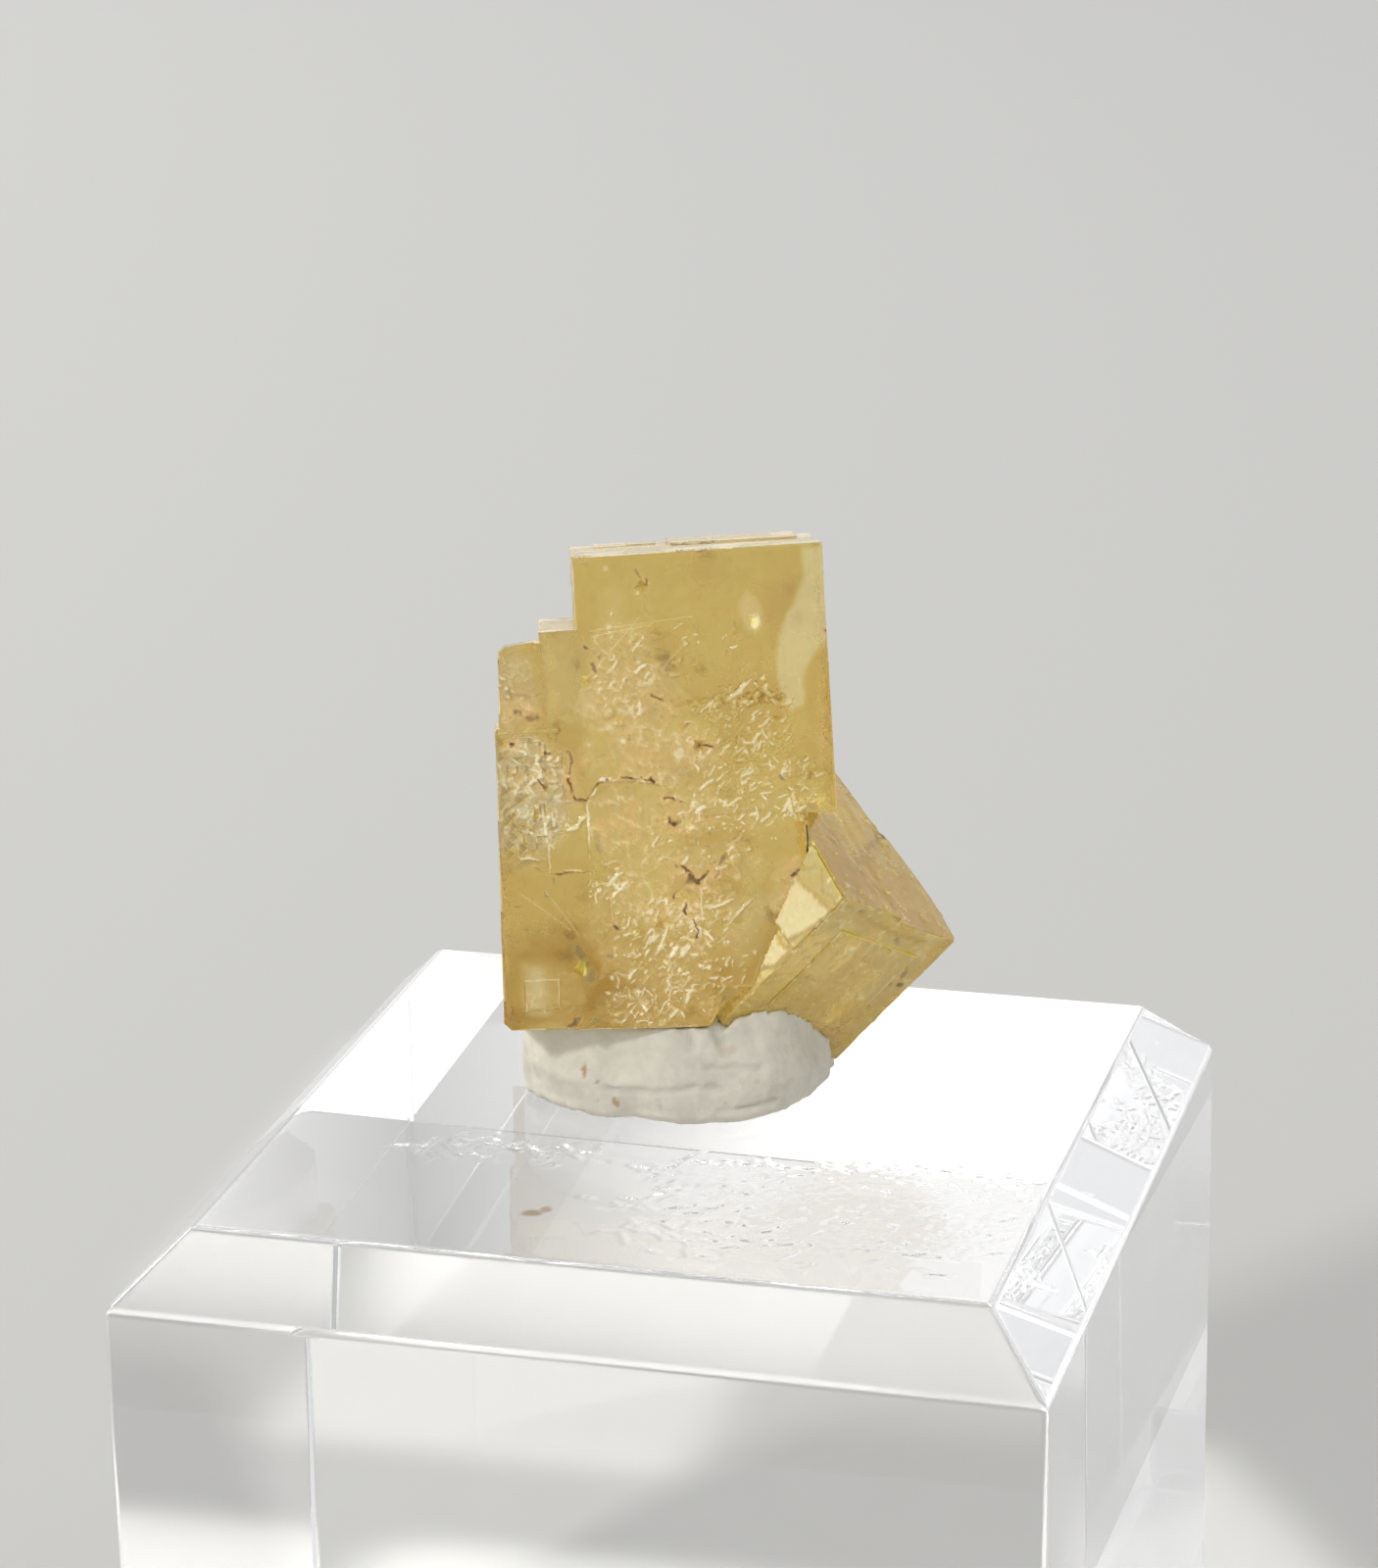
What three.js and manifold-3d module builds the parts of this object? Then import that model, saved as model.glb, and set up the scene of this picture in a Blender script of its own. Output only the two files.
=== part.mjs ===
// Yellow fluorite specimen held by a pad of mounting putty on a clear bevelled block.
// Millimetres, +Z up, origin at the centre of the block's underside, front towards -Y.

import * as THREE from 'three';
import { mergeVertices } from 'three/addons/utils/BufferGeometryUtils.js';
import Module from 'manifold-3d';

const wasm = await Module();
wasm.setup();

// Display block: square in plan, with a 45 degree bevel along its four top edges
const BLOCK_WIDTH = 31.75;
const BLOCK_HEIGHT = 25.4;
const BLOCK_BEVEL = 2.3;

// Putty pad: a squat lump, half its width and depth, where its middle stands on the block
const PAD_HALF_WIDTH = 5.3;
const PAD_HALF_DEPTH = 4.45;
const PAD_HEIGHT = 4.1;
const PAD_CENTRE = { x: -1.3, y: 2.95 };
const PAD_SQUARENESS = 2.9;
const PAD_SEGMENTS = 56;
const SEAT_GAP = 0.3;

// The cluster's own frame: x to the right along the front faces, y into the crystal, z up
// It is turned to the right, leans back and is tipped in its own plane, in degrees
const CLUSTER_YAW = 17.3;
const CLUSTER_LEAN = 13.3;
const CLUSTER_TIP = 1.85;
const CLUSTER_FOOT = new THREE.Vector3(-0.27, -1.62, 29.04);

// Main cube, seen from the front: left, right, bottom and top, and how far back it goes
const MAIN = { left: -2.45, right: 6.15, bottom: 7.2, top: 16.48, back: 8.0 };
const MAIN_PLATE_FRONT = 0;
const MAIN_BODY_FRONT = 0.12;

// Shoulder: the next step down on the left of the main cube
const SHOULDER = { left: -3.72, top: 13.97, bottom: 8.1, back: 7.5 };

// Lower cube, whose left and bottom edges are the cluster's own; its foot is at about z = 0
const LOWER = { left: -5.68, right: 5.05, top: 10.7, back: 8.6 };
const LOWER_FRONT = 0.4;
const LOWER_MIDDLE_FRONT = 0.12;
const LOWER_STEP_BACK = 3.0;
const LOWER_SIDE_STEP = 0.18;
const LOWER_FOOT_LEFT = 0.2;
const LOWER_FOOT_RIGHT = { x: 1.42, z: -0.02 };

// Upper left column: a small cube standing on the lower one
const COLUMN = { left: -5.2, right: -3.1, top: 13.6, back: 5.6 };
const COLUMN_FRONT = 0.34;

// Twinned cube: turned half round about the main cube's body diagonal, so that its edges
// run along thirds of the main cube's own axes; it comes out through the lower right
const TWIN_CORNER = new THREE.Vector3(6.24, -1.6, 4.36);
const TWIN_EDGE_IN = new THREE.Vector3(-1, 2, 2).divideScalar(3);
const TWIN_EDGE_DOWN = new THREE.Vector3(-2, 1, -2).divideScalar(3);
const TWIN_EDGE_RIGHT = new THREE.Vector3(2, 2, -1).divideScalar(3);
const TWIN_LENGTH = 8.6;
const TWIN_DROP = 6.65;
const TWIN_WIDTH = 6.3;
const TWIN_TERRACE = 0.28;

// Depths of the growth plates that stand on the faces
const THIN_PLATE = 0.12;
const THICK_PLATE = 0.3;

// Colours and finishes
const FLUORITE = new THREE.MeshStandardMaterial({ color: 0xc8af5f, roughness: 0.12, metalness: 0 });
const PUTTY = new THREE.MeshStandardMaterial({ color: 0xc9c7bd, roughness: 0.85, metalness: 0 });
const ACRYLIC = new THREE.MeshStandardMaterial({ color: 0xe6e7e3, roughness: 0.05, metalness: 0 });

// Solids

function toSolid(geometry) {
  const bare = geometry.index ? geometry.toNonIndexed() : geometry.clone();
  bare.deleteAttribute('normal');
  bare.deleteAttribute('uv');
  const merged = mergeVertices(bare, 1e-5);
  return new wasm.Manifold(new wasm.Mesh({
    numProp: 3,
    vertProperties: new Float32Array(merged.attributes.position.array),
    triVerts: new Uint32Array(merged.index.array),
  }));
}

function toGeometry(solid) {
  const mesh = solid.getMesh();
  const geometry = new THREE.BufferGeometry();
  geometry.setAttribute('position', new THREE.BufferAttribute(mesh.vertProperties, 3));
  geometry.setIndex(new THREE.BufferAttribute(mesh.triVerts, 1));
  geometry.computeVertexNormals();
  return geometry;
}

function join(geometries) {
  return geometries.map(toSolid).reduce((whole, piece) => whole.add(piece));
}

function seededRandom(seed) {
  let state = seed;
  return () => {
    state = (state * 1664525 + 1013904223) % 4294967296;
    return state / 4294967296;
  };
}

// Shapes in the cluster's frame

// A front outline of [x, z] points, filled from one depth to another
function frontPrism(outline, front, back) {
  const shape = new THREE.Shape(outline.map(([x, z]) => new THREE.Vector2(x, z)));
  const geometry = new THREE.ExtrudeGeometry(shape, { depth: back - front, bevelEnabled: false });
  return geometry.rotateX(Math.PI / 2).translate(0, back, 0);
}

function block(x0, x1, y0, y1, z0, z1) {
  const geometry = new THREE.BoxGeometry(x1 - x0, y1 - y0, z1 - z0);
  return geometry.translate((x0 + x1) / 2, (y0 + y1) / 2, (z0 + z1) / 2);
}

// The twinned cube's own frame: inward, rightward and downward edges from its near corner
function twinFrame() {
  const frame = new THREE.Matrix4().makeBasis(TWIN_EDGE_IN, TWIN_EDGE_RIGHT, TWIN_EDGE_DOWN);
  return frame.setPosition(TWIN_CORNER);
}

// An outline of [inward, rightward] points, filled over a stretch of the downward edge
function twinPrism(outline, start, end) {
  const shape = new THREE.Shape(outline.map(([a, c]) => new THREE.Vector2(a, c)));
  const geometry = new THREE.ExtrudeGeometry(shape, { depth: end - start, bevelEnabled: false });
  return geometry.translate(0, 0, start).applyMatrix4(twinFrame());
}

// A four-sided etch pit, point inwards, for a face whose outward side is -Y
function pit(x, y, z, size, depth, turn) {
  const overshoot = 0.5;
  const radius = (size / Math.SQRT2) * (1 + overshoot);
  const geometry = new THREE.ConeGeometry(radius, depth * (1 + overshoot), 4, 1);
  geometry.rotateY(Math.PI / 4 + turn);
  return geometry.translate(x, y + depth * (1 - overshoot) / 2, z);
}

// The outline of the flat front plate shared by the main cube and the shoulder, which
// ends below in a ragged ledge
function mainPlateOutline() {
  return [
    [MAIN.left, MAIN.top - 0.03], [MAIN.right - 0.01, MAIN.top + 0.02], [MAIN.right + 0.03, MAIN.bottom],
    [5.04, MAIN.bottom], [3.4, 7.42], [1.6, 7.3], [0.87, 7.9], [0.3, 8.45],
    [-0.7, 8.65], [-2.04, 8.66], [MAIN.left, SHOULDER.bottom], [-2.75, SHOULDER.bottom],
    [-3.09, 9.7], [-3.54, 12.1], [SHOULDER.left, SHOULDER.top], [MAIN.left, SHOULDER.top],
  ];
}

// The lower cube's front part: its right side follows the twinned cube, just inside it
function lowerFrontOutline() {
  const trim = 0.27;
  return [
    [LOWER.left, LOWER_FOOT_LEFT + trim], [LOWER.left + trim, LOWER_FOOT_LEFT],
    [LOWER_FOOT_RIGHT.x, LOWER_FOOT_RIGHT.z], [1.9, 0.75], [LOWER.right, 2.5], [LOWER.right, 7.4],
    [2.6, 7.4], [2.6, 8.9], [-1.1, 8.9], [-1.1, LOWER.top], [LOWER.left + trim, LOWER.top],
  ];
}

// Its back part is square, a step further in on the left, with its low corner in the twin
function lowerBackOutline() {
  const left = LOWER.left + LOWER_SIDE_STEP;
  return [
    [left, LOWER_FOOT_LEFT], [LOWER_FOOT_RIGHT.x, LOWER_FOOT_RIGHT.z], [LOWER.right, -0.12], [LOWER.right, 7.4],
    [2.6, 7.4], [2.6, 8.9], [-1.1, 8.9], [-1.1, LOWER.top], [left + 0.25, LOWER.top],
  ];
}

// The middle of the lower cube stands a little proud, with a ragged left side
function middleOutline() {
  return [
    [-2.36, 8.7], [-2.46, 6.0], [-1.8, 4.7], [-1.75, 3.5], [-2.7, 2.6], [-3.1, 1.2], [-3.25, 0.12],
    [LOWER_FOOT_RIGHT.x, LOWER_FOOT_RIGHT.z], [1.9, 0.75], [LOWER.right + 0.12, 2.5],
    [LOWER.right + 0.12, 7.3], [0, 8.7],
  ];
}

// The upper left column's outline, a little lower and narrower with each step back
function columnOutline(drop) {
  const left = COLUMN.left + drop;
  const top = COLUMN.top - drop;
  return [
    [left - 0.08, LOWER.top - 0.2], [left + 0.04, top - 0.35], [left + 0.28, top - 0.12],
    [-3.87, top], [COLUMN.right, top], [COLUMN.right, LOWER.top - 0.2],
  ];
}

// The twinned cube's upper face, narrowing inwards in small steps
function twinOutline() {
  return [
    [0, 0], [0, TWIN_WIDTH - 0.1], [0.35, TWIN_WIDTH + 0.15], [1.3, TWIN_WIDTH + 0.2], [2.5, 6.3],
    [4.1, 5.95], [5.0, 5.66], [5.15, 5.4], [8.2, 4.8], [TWIN_LENGTH, 4.4], [TWIN_LENGTH, 0],
  ];
}

function crystals() {
  return [
    frontPrism(mainPlateOutline(), MAIN_PLATE_FRONT, 0.6),
    block(MAIN.left, MAIN.right, MAIN_BODY_FRONT, MAIN.back, MAIN.bottom, MAIN.top),
    block(SHOULDER.left, 0, 0.5, SHOULDER.back, SHOULDER.bottom, SHOULDER.top),
    frontPrism(lowerFrontOutline(), LOWER_FRONT, LOWER_STEP_BACK + 1),
    frontPrism(lowerBackOutline(), LOWER_STEP_BACK, LOWER.back),
    frontPrism(middleOutline(), LOWER_MIDDLE_FRONT, 1.2),
    frontPrism(columnOutline(0), COLUMN_FRONT, 1.6),
    frontPrism(columnOutline(0.14), 1.0, 3.4),
    frontPrism(columnOutline(0.36), 3.0, COLUMN.back),
    twinPrism(twinOutline(), TWIN_TERRACE, TWIN_DROP),
    twinPrism([[0, 0], [0, 3.1], [4.6, 1.15], [5.0, 0]], 0, 1),
  ];
}

// Growth plates and ledges, each a little proud of the face that it stands on
function growthPlates() {
  const behindMain = MAIN.back - 0.5;
  const behindLower = LOWER.back - 0.5;
  return [
    // front, between the lower cube's middle and its left part
    block(-3.82, -2.3, 0.26, 0.8, 5.56, 8.05),
    block(-4.9, -3.7, 0.3, 0.8, 0.9, 1.9),
    // top of the main cube
    block(1.0, 5.5, 4.2, MAIN.back - 0.15, MAIN.top - 0.5, MAIN.top + THIN_PLATE),
    block(-1.6, 0.6, 5.6, MAIN.back - 0.4, MAIN.top - 0.5, MAIN.top + THIN_PLATE / 2),
    // back
    block(-1.7, 4.9, behindMain, MAIN.back + THICK_PLATE, 9.1, 15.4),
    block(-0.6, 3.1, behindMain, MAIN.back + 2 * THICK_PLATE, 10.4, 14.1),
    block(-4.8, -0.6, behindLower, LOWER.back + THICK_PLATE, 1.2, 7.9),
    block(-3.9, -1.9, behindLower, LOWER.back + 2 * THICK_PLATE, 2.5, 6.2),
    // right face of the main cube
    block(MAIN.right - 0.5, MAIN.right + THIN_PLATE, 2.9, 6.9, 9.6, 15.2),
    // left face of the lower cube, behind its front step
    block(-5.46, -4, LOWER_STEP_BACK, 7.4, 1.6, 6.1),
    block(-5.34, -4, LOWER_STEP_BACK, 6.2, 6.6, 9.9),
    // left facet of the twinned cube
    twinPrism([[0.05, -THIN_PLATE], [2.6, -THIN_PLATE], [2.6, 0.5], [0.05, 0.5]], 0.05, 2.75),
    // its lower front face
    twinPrism([[-THIN_PLATE / 2, 1.1], [-THIN_PLATE / 2, 5.2], [0.5, 5.2], [0.5, 1.1]], 1.3, 5.3),
  ];
}

// Square etch pits and notches in the front faces, and the pitted skin of the left column
function frontPits() {
  const pits = [
    [1.59, MAIN_PLATE_FRONT, 9.73, 0.42, 0.3, 0.1],
    [0.87, LOWER_MIDDLE_FRONT, 7.1, 0.5, 0.3, 0.4],
    [0.75, LOWER_MIDDLE_FRONT, 4.9, 0.7, 0.25, 0.3],
    [-0.05, LOWER_MIDDLE_FRONT, 3.7, 0.4, 0.2, 0.2],
    [3.65, MAIN_PLATE_FRONT, 13.97, 0.34, 0.2, 0],
    [-0.1, MAIN_PLATE_FRONT, 15.3, 0.36, 0.25, 0.7],
    [-2.2, MAIN_PLATE_FRONT, 12.2, 0.32, 0.2, 0.1],
    [-1.2, MAIN_PLATE_FRONT, 10.9, 0.5, 0.18, 0.5],
    [-1.0, LOWER_MIDDLE_FRONT, 1.0, 0.6, 0.2, 0.2],
    [-2.8, LOWER_FRONT, 2.25, 0.6, 0.3, 0.6],
    [2.4, LOWER_MIDDLE_FRONT, 5.8, 0.4, 0.16, 0.3],
    [3.3, MAIN_PLATE_FRONT, 9.1, 0.5, 0.14, 0.2],
    [4.3, MAIN_PLATE_FRONT, 10.4, 0.4, 0.12, 0],
  ];
  return pits.map((values) => pit(...values));
}

function pittedSkin() {
  const random = seededRandom(11);
  const count = 34;
  const cuts = [];
  for (let i = 0; i < count; i += 1) {
    const z = 6.2 + 4.1 * random();
    const spread = z > 8.5 ? 1.7 : 0.95;
    const x = -5.2 + spread * random();
    const size = 0.22 + 0.3 * random();
    cuts.push(pit(x, LOWER_FRONT, z, size, size * 0.45, 0.3 * random()));
  }
  return cuts;
}

function skinCubelets() {
  const random = seededRandom(29);
  const count = 16;
  const lumps = [];
  for (let i = 0; i < count; i += 1) {
    const x = -5.3 + 1.7 * random();
    const z = 6.4 + 3.6 * random();
    const size = 0.3 + 0.35 * random();
    const proud = 0.05 + 0.08 * random();
    lumps.push(block(x, x + size, LOWER_FRONT - proud, LOWER_FRONT + 0.5, z, z + size));
  }
  return lumps;
}

function clusterSolid() {
  const cuts = join([...frontPits(), ...pittedSkin()]);
  const pitted = join([...crystals(), ...growthPlates()]).subtract(cuts);
  return pitted.add(join(skinCubelets()));
}

function clusterMatrix() {
  const { degToRad } = THREE.MathUtils;
  const turn = new THREE.Euler(degToRad(-CLUSTER_LEAN), degToRad(-CLUSTER_TIP), degToRad(CLUSTER_YAW), 'ZXY');
  return new THREE.Matrix4().makeRotationFromEuler(turn).setPosition(CLUSTER_FOOT);
}

// Putty pad

// How far out the pad reaches at an angle: a rounded square with soft thumb marks
function padReach(angle) {
  const across = Math.abs(Math.cos(angle) / PAD_HALF_WIDTH) ** PAD_SQUARENESS;
  const along = Math.abs(Math.sin(angle) / PAD_HALF_DEPTH) ** PAD_SQUARENESS;
  const reach = (across + along) ** (-1 / PAD_SQUARENESS);
  const thumbMarks = 0.12 * Math.sin(3 * angle + 0.7) + 0.09 * Math.sin(5 * angle + 2.1);
  return reach + thumbMarks + 0.05 * Math.sin(9 * angle);
}

function padGeometry() {
  const profile = [
    [0, 0], [0.5, 0], [0.94, 0], [0.985, 0.3], [1.0, 0.8], [1.01, 1.4], [0.985, 2.0],
    [0.96, 2.6], [0.93, 3.1], [0.86, 3.6], [0.68, 3.95], [0.35, PAD_HEIGHT], [0, PAD_HEIGHT],
  ];
  const points = profile.map(([out, up]) => new THREE.Vector2(out, up));
  const geometry = new THREE.LatheGeometry(points, PAD_SEGMENTS).rotateX(Math.PI / 2);
  const position = geometry.attributes.position;
  for (let i = 0; i < position.count; i += 1) {
    const out = Math.hypot(position.getX(i), position.getY(i));
    const angle = Math.atan2(position.getY(i), position.getX(i));
    const up = position.getZ(i);
    const dent = 1 + 0.02 * Math.sin(4 * angle + 2.2 * up) * Math.min(1, up);
    const reach = padReach(angle) * out * dent;
    position.setXYZ(i, reach * Math.cos(angle), reach * Math.sin(angle), up);
  }
  return geometry.translate(PAD_CENTRE.x, PAD_CENTRE.y, BLOCK_HEIGHT);
}

// The cluster's lower cube and twinned cube, grown by the seat gap on every side
function seatCutter() {
  const gap = SEAT_GAP;
  const reach = 12;
  const left = LOWER.left - gap;
  const right = LOWER.right + gap;
  const frontGrown = [
    [left, -gap], [LOWER_FOOT_RIGHT.x + gap / 2, LOWER_FOOT_RIGHT.z - gap], [1.9 + gap, 0.75 - gap],
    [right, 2.5 - gap], [right, reach], [left, reach],
  ];
  const backGrown = [[left, -gap], [right, -0.12 - gap], [right, reach], [left, reach]];
  const twinGrown = [
    [-gap, -gap], [-gap, TWIN_WIDTH + 2 * gap],
    [TWIN_LENGTH + gap, TWIN_WIDTH + 2 * gap], [TWIN_LENGTH + gap, -gap],
  ];
  const cutters = [
    frontPrism(frontGrown, LOWER_MIDDLE_FRONT - gap, LOWER_STEP_BACK),
    frontPrism(backGrown, LOWER_STEP_BACK - gap, LOWER.back + 2 * THICK_PLATE + gap),
    twinPrism(twinGrown, -gap, TWIN_DROP + gap),
  ];
  return join(cutters.map((geometry) => geometry.applyMatrix4(clusterMatrix())));
}

function padSolid() {
  return toSolid(padGeometry()).subtract(seatCutter());
}

// Display block

function displayBlockGeometry() {
  const half = BLOCK_WIDTH / 2;
  const shoulder = BLOCK_HEIGHT - BLOCK_BEVEL;
  const profile = [[0, 0], [half, 0], [half, shoulder], [half - BLOCK_BEVEL, BLOCK_HEIGHT], [0, BLOCK_HEIGHT]];
  const points = profile.map(([out, up]) => new THREE.Vector2(out * Math.SQRT2, up));
  return new THREE.LatheGeometry(points, 4).rotateX(Math.PI / 2).rotateZ(Math.PI / 4);
}

// Assembly

function cleanGeometry(geometry) {
  return toGeometry(toSolid(geometry));
}

function namedMesh(name, geometry, material) {
  const mesh = new THREE.Mesh(geometry, material);
  mesh.name = name;
  return mesh;
}

const specimen = new THREE.Group();

const cluster = namedMesh('fluorite_cluster', toGeometry(clusterSolid()), FLUORITE);
cluster.applyMatrix4(clusterMatrix());

specimen.add(
  cluster,
  namedMesh('putty_pad', toGeometry(padSolid()), PUTTY),
  namedMesh('display_block', cleanGeometry(displayBlockGeometry()), ACRYLIC),
);

export default specimen;
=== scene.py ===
"""Yellow fluorite specimen on putty and a clear display block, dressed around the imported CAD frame."""

import math

import bmesh
import bpy
import numpy as np
from mathutils import Matrix, Vector
from mathutils.bvhtree import BVHTree


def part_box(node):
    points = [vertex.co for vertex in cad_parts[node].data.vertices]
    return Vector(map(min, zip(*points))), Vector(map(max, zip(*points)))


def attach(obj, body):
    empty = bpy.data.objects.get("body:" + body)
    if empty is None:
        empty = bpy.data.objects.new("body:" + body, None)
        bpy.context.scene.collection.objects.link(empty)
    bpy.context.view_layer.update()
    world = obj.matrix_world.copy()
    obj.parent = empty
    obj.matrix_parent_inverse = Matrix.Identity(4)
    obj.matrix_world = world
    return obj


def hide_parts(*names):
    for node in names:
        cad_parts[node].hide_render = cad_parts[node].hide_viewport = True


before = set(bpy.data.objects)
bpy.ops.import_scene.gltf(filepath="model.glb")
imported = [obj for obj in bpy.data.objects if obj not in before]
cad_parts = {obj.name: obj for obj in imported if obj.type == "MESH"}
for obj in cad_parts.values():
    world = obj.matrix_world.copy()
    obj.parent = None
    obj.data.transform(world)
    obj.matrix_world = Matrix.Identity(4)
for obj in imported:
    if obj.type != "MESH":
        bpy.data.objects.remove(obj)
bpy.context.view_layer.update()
scene = bpy.context.scene

MM = 0.001

# The cluster's own frame, in millimetres: x right along the front faces, y into the crystal, z up
CLUSTER_YAW = 17.3
CLUSTER_LEAN = 13.3
CLUSTER_TIP = 1.85
CLUSTER_FOOT = Vector((-0.27, -1.62, 29.04))
MAIN_TOP = 16.48

# The directions of the twinned cube's edges, in the cluster's frame
TWIN_IN = np.array((-1, 2, 2)) / 3
TWIN_DOWN = np.array((-2, 1, -2)) / 3
TWIN_RIGHT = np.array((2, 2, -1)) / 3

# The block's size, from the frame
BLOCK_HALF, _, BLOCK_TOP = Vector(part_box("display_block")[1]) / MM
BLOCK_BEVEL = 2.3


def rotation(degrees, axis):
    return Matrix.Rotation(math.radians(degrees), 4, axis)


def cluster_matrix():
    """From the cluster's frame to the world, both in millimetres."""
    turn = rotation(CLUSTER_YAW, "Z") @ rotation(-CLUSTER_LEAN, "X") @ rotation(-CLUSTER_TIP, "Y")
    return Matrix.Translation(CLUSTER_FOOT) @ turn


# Helpers for noise and masks over arrays of points


def lattice_value(cells, seed):
    """A fixed pseudo-random number from 0 to 1 for each whole-number cell."""
    mixed = cells.astype(np.int64) @ np.array((73856093, 19349663, 83492791)[: cells.shape[1]])
    mixed = (mixed ^ (seed * 2654435761)) & 0xFFFFFFFF
    mixed = ((mixed ^ (mixed >> 15)) * 2246822519) & 0xFFFFFFFF
    mixed = ((mixed ^ (mixed >> 13)) * 3266489917) & 0xFFFFFFFF
    return (mixed ^ (mixed >> 16)) / 4294967295.0


def smooth_noise(points, size, seed):
    """Value noise from -1 to 1, with features about that size."""
    scaled = points / size
    low = np.floor(scaled)
    part = scaled - low
    part = part * part * (3 - 2 * part)
    total = np.zeros(len(points))
    for corner in np.ndindex(*(2,) * points.shape[1]):
        weight = np.prod(np.where(corner, part, 1 - part), axis=1)
        total += weight * lattice_value(low + corner, seed)
    return 2 * total - 1


def layered_noise(points, size, seed, layers=3):
    total = np.zeros(len(points))
    for layer in range(layers):
        total += smooth_noise(points, size / 2**layer, seed + layer) / 2**layer
    return total / (2 - 2 ** (1 - layers))


def ramp(values, start, end):
    """0 before start and 1 after end, smoothly."""
    part = np.clip((values - start) / (end - start), 0, 1)
    return part * part * (3 - 2 * part)


def blobs(points, ellipses):
    """The strongest of some soft ellipses, each (x, y, x radius, y radius, turn in degrees, strength)."""
    total = np.zeros(len(points))
    for x, y, across, along, turn, strength in ellipses:
        angle = math.radians(turn)
        dx = points[:, 0] - x
        dy = points[:, 1] - y
        u = (dx * math.cos(angle) + dy * math.sin(angle)) / across
        v = (-dx * math.sin(angle) + dy * math.cos(angle)) / along
        total = np.maximum(total, strength * (1 - ramp(np.hypot(u, v), 0.6, 1.15)))
    return total


def line_distance(points, path):
    """How far each 2-D point is from a path of points."""
    nearest = np.full(len(points), 1e9)
    for start, end in zip(path[:-1], path[1:]):
        start = np.array(start, float)
        along = np.array(end, float) - start
        part = np.clip((points - start) @ along / max(along @ along, 1e-12), 0, 1)
        nearest = np.minimum(nearest, np.linalg.norm(points - start - part[:, None] * along, axis=1))
    return nearest


# Fluorite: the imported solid's flat faces cut into a fine grid, then given relief


# One entry per direction that the crystal's faces point: outward normal, the two grid
# directions in the face, and the grid's step
FACE_SETS = {
    "front": ((0, -1, 0), (1, 0, 0), (0, 0, 1), 0.082),
    "back": ((0, 1, 0), (1, 0, 0), (0, 0, 1), 0.25),
    "top": ((0, 0, 1), (1, 0, 0), (0, 1, 0), 0.14),
    "under": ((0, 0, -1), (1, 0, 0), (0, 1, 0), 0.25),
    "right": ((1, 0, 0), (0, 1, 0), (0, 0, 1), 0.2),
    "left": ((-1, 0, 0), (0, 1, 0), (0, 0, 1), 0.2),
    "twin_upper": (-TWIN_DOWN, TWIN_IN, TWIN_RIGHT, 0.11),
    "twin_front": (-TWIN_IN, TWIN_DOWN, TWIN_RIGHT, 0.1),
    "twin_left": (-TWIN_RIGHT, TWIN_IN, TWIN_DOWN, 0.09),
    "twin_under": (TWIN_DOWN, TWIN_IN, TWIN_RIGHT, 0.25),
    "twin_back": (TWIN_IN, TWIN_DOWN, TWIN_RIGHT, 0.25),
    "twin_right": (TWIN_RIGHT, TWIN_IN, TWIN_DOWN, 0.25),
}
SET_NAMES = list(FACE_SETS)
SAME_WAY = math.cos(math.radians(4))


def local_crystal():
    """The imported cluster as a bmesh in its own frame, with each flat face in one piece."""
    to_local = cluster_matrix().inverted() @ Matrix.Scale(1 / MM, 4)
    mesh = bmesh.new()
    mesh.from_mesh(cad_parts["fluorite_cluster"].data)
    bmesh.ops.transform(mesh, matrix=to_local, verts=mesh.verts)
    bmesh.ops.remove_doubles(mesh, verts=mesh.verts, dist=1e-4)
    bmesh.ops.dissolve_limit(mesh, angle_limit=math.radians(0.5), verts=mesh.verts, edges=mesh.edges)
    return mesh


def even_places(faces, direction, step):
    """Whole multiples of a step that fall within these faces, along a direction."""
    reach = [direction.dot(vert.co) for face in faces for vert in face.verts]
    return [index * step for index in range(math.floor(min(reach) / step) + 1, math.ceil(max(reach) / step))]


def cut_across(mesh, faces, direction, places):
    """Cuts these faces straight across at each place along a direction."""
    active = set(faces)
    for place in places:
        geometry = set(active)
        for face in active:
            geometry.update(face.edges)
            geometry.update(face.verts)
        result = bmesh.ops.bisect_plane(
            mesh, geom=list(geometry), dist=1e-5, plane_co=direction * place, plane_no=direction
        )
        pieces = [item for item in result["geom"] if isinstance(item, bmesh.types.BMFace)]
        beyond = place + 1e-4
        active = {face for face in pieces if max(direction.dot(vert.co) for vert in face.verts) > beyond}


def cut_grids(mesh):
    """Marks every face with its set's number, plus one, and cuts each set into its grid."""
    for face in mesh.faces:
        face.material_index = 0
        for number, name in enumerate(SET_NAMES):
            if face.normal.dot(Vector(FACE_SETS[name][0])) > SAME_WAY:
                face.material_index = number + 1
    for number, name in enumerate(SET_NAMES):
        _, first, second, step = FACE_SETS[name]
        for direction in (first, second):
            faces = [face for face in mesh.faces if face.material_index == number + 1]
            if faces:
                direction = Vector(direction)
                cut_across(mesh, faces, direction, even_places(faces, direction, step))


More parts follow.
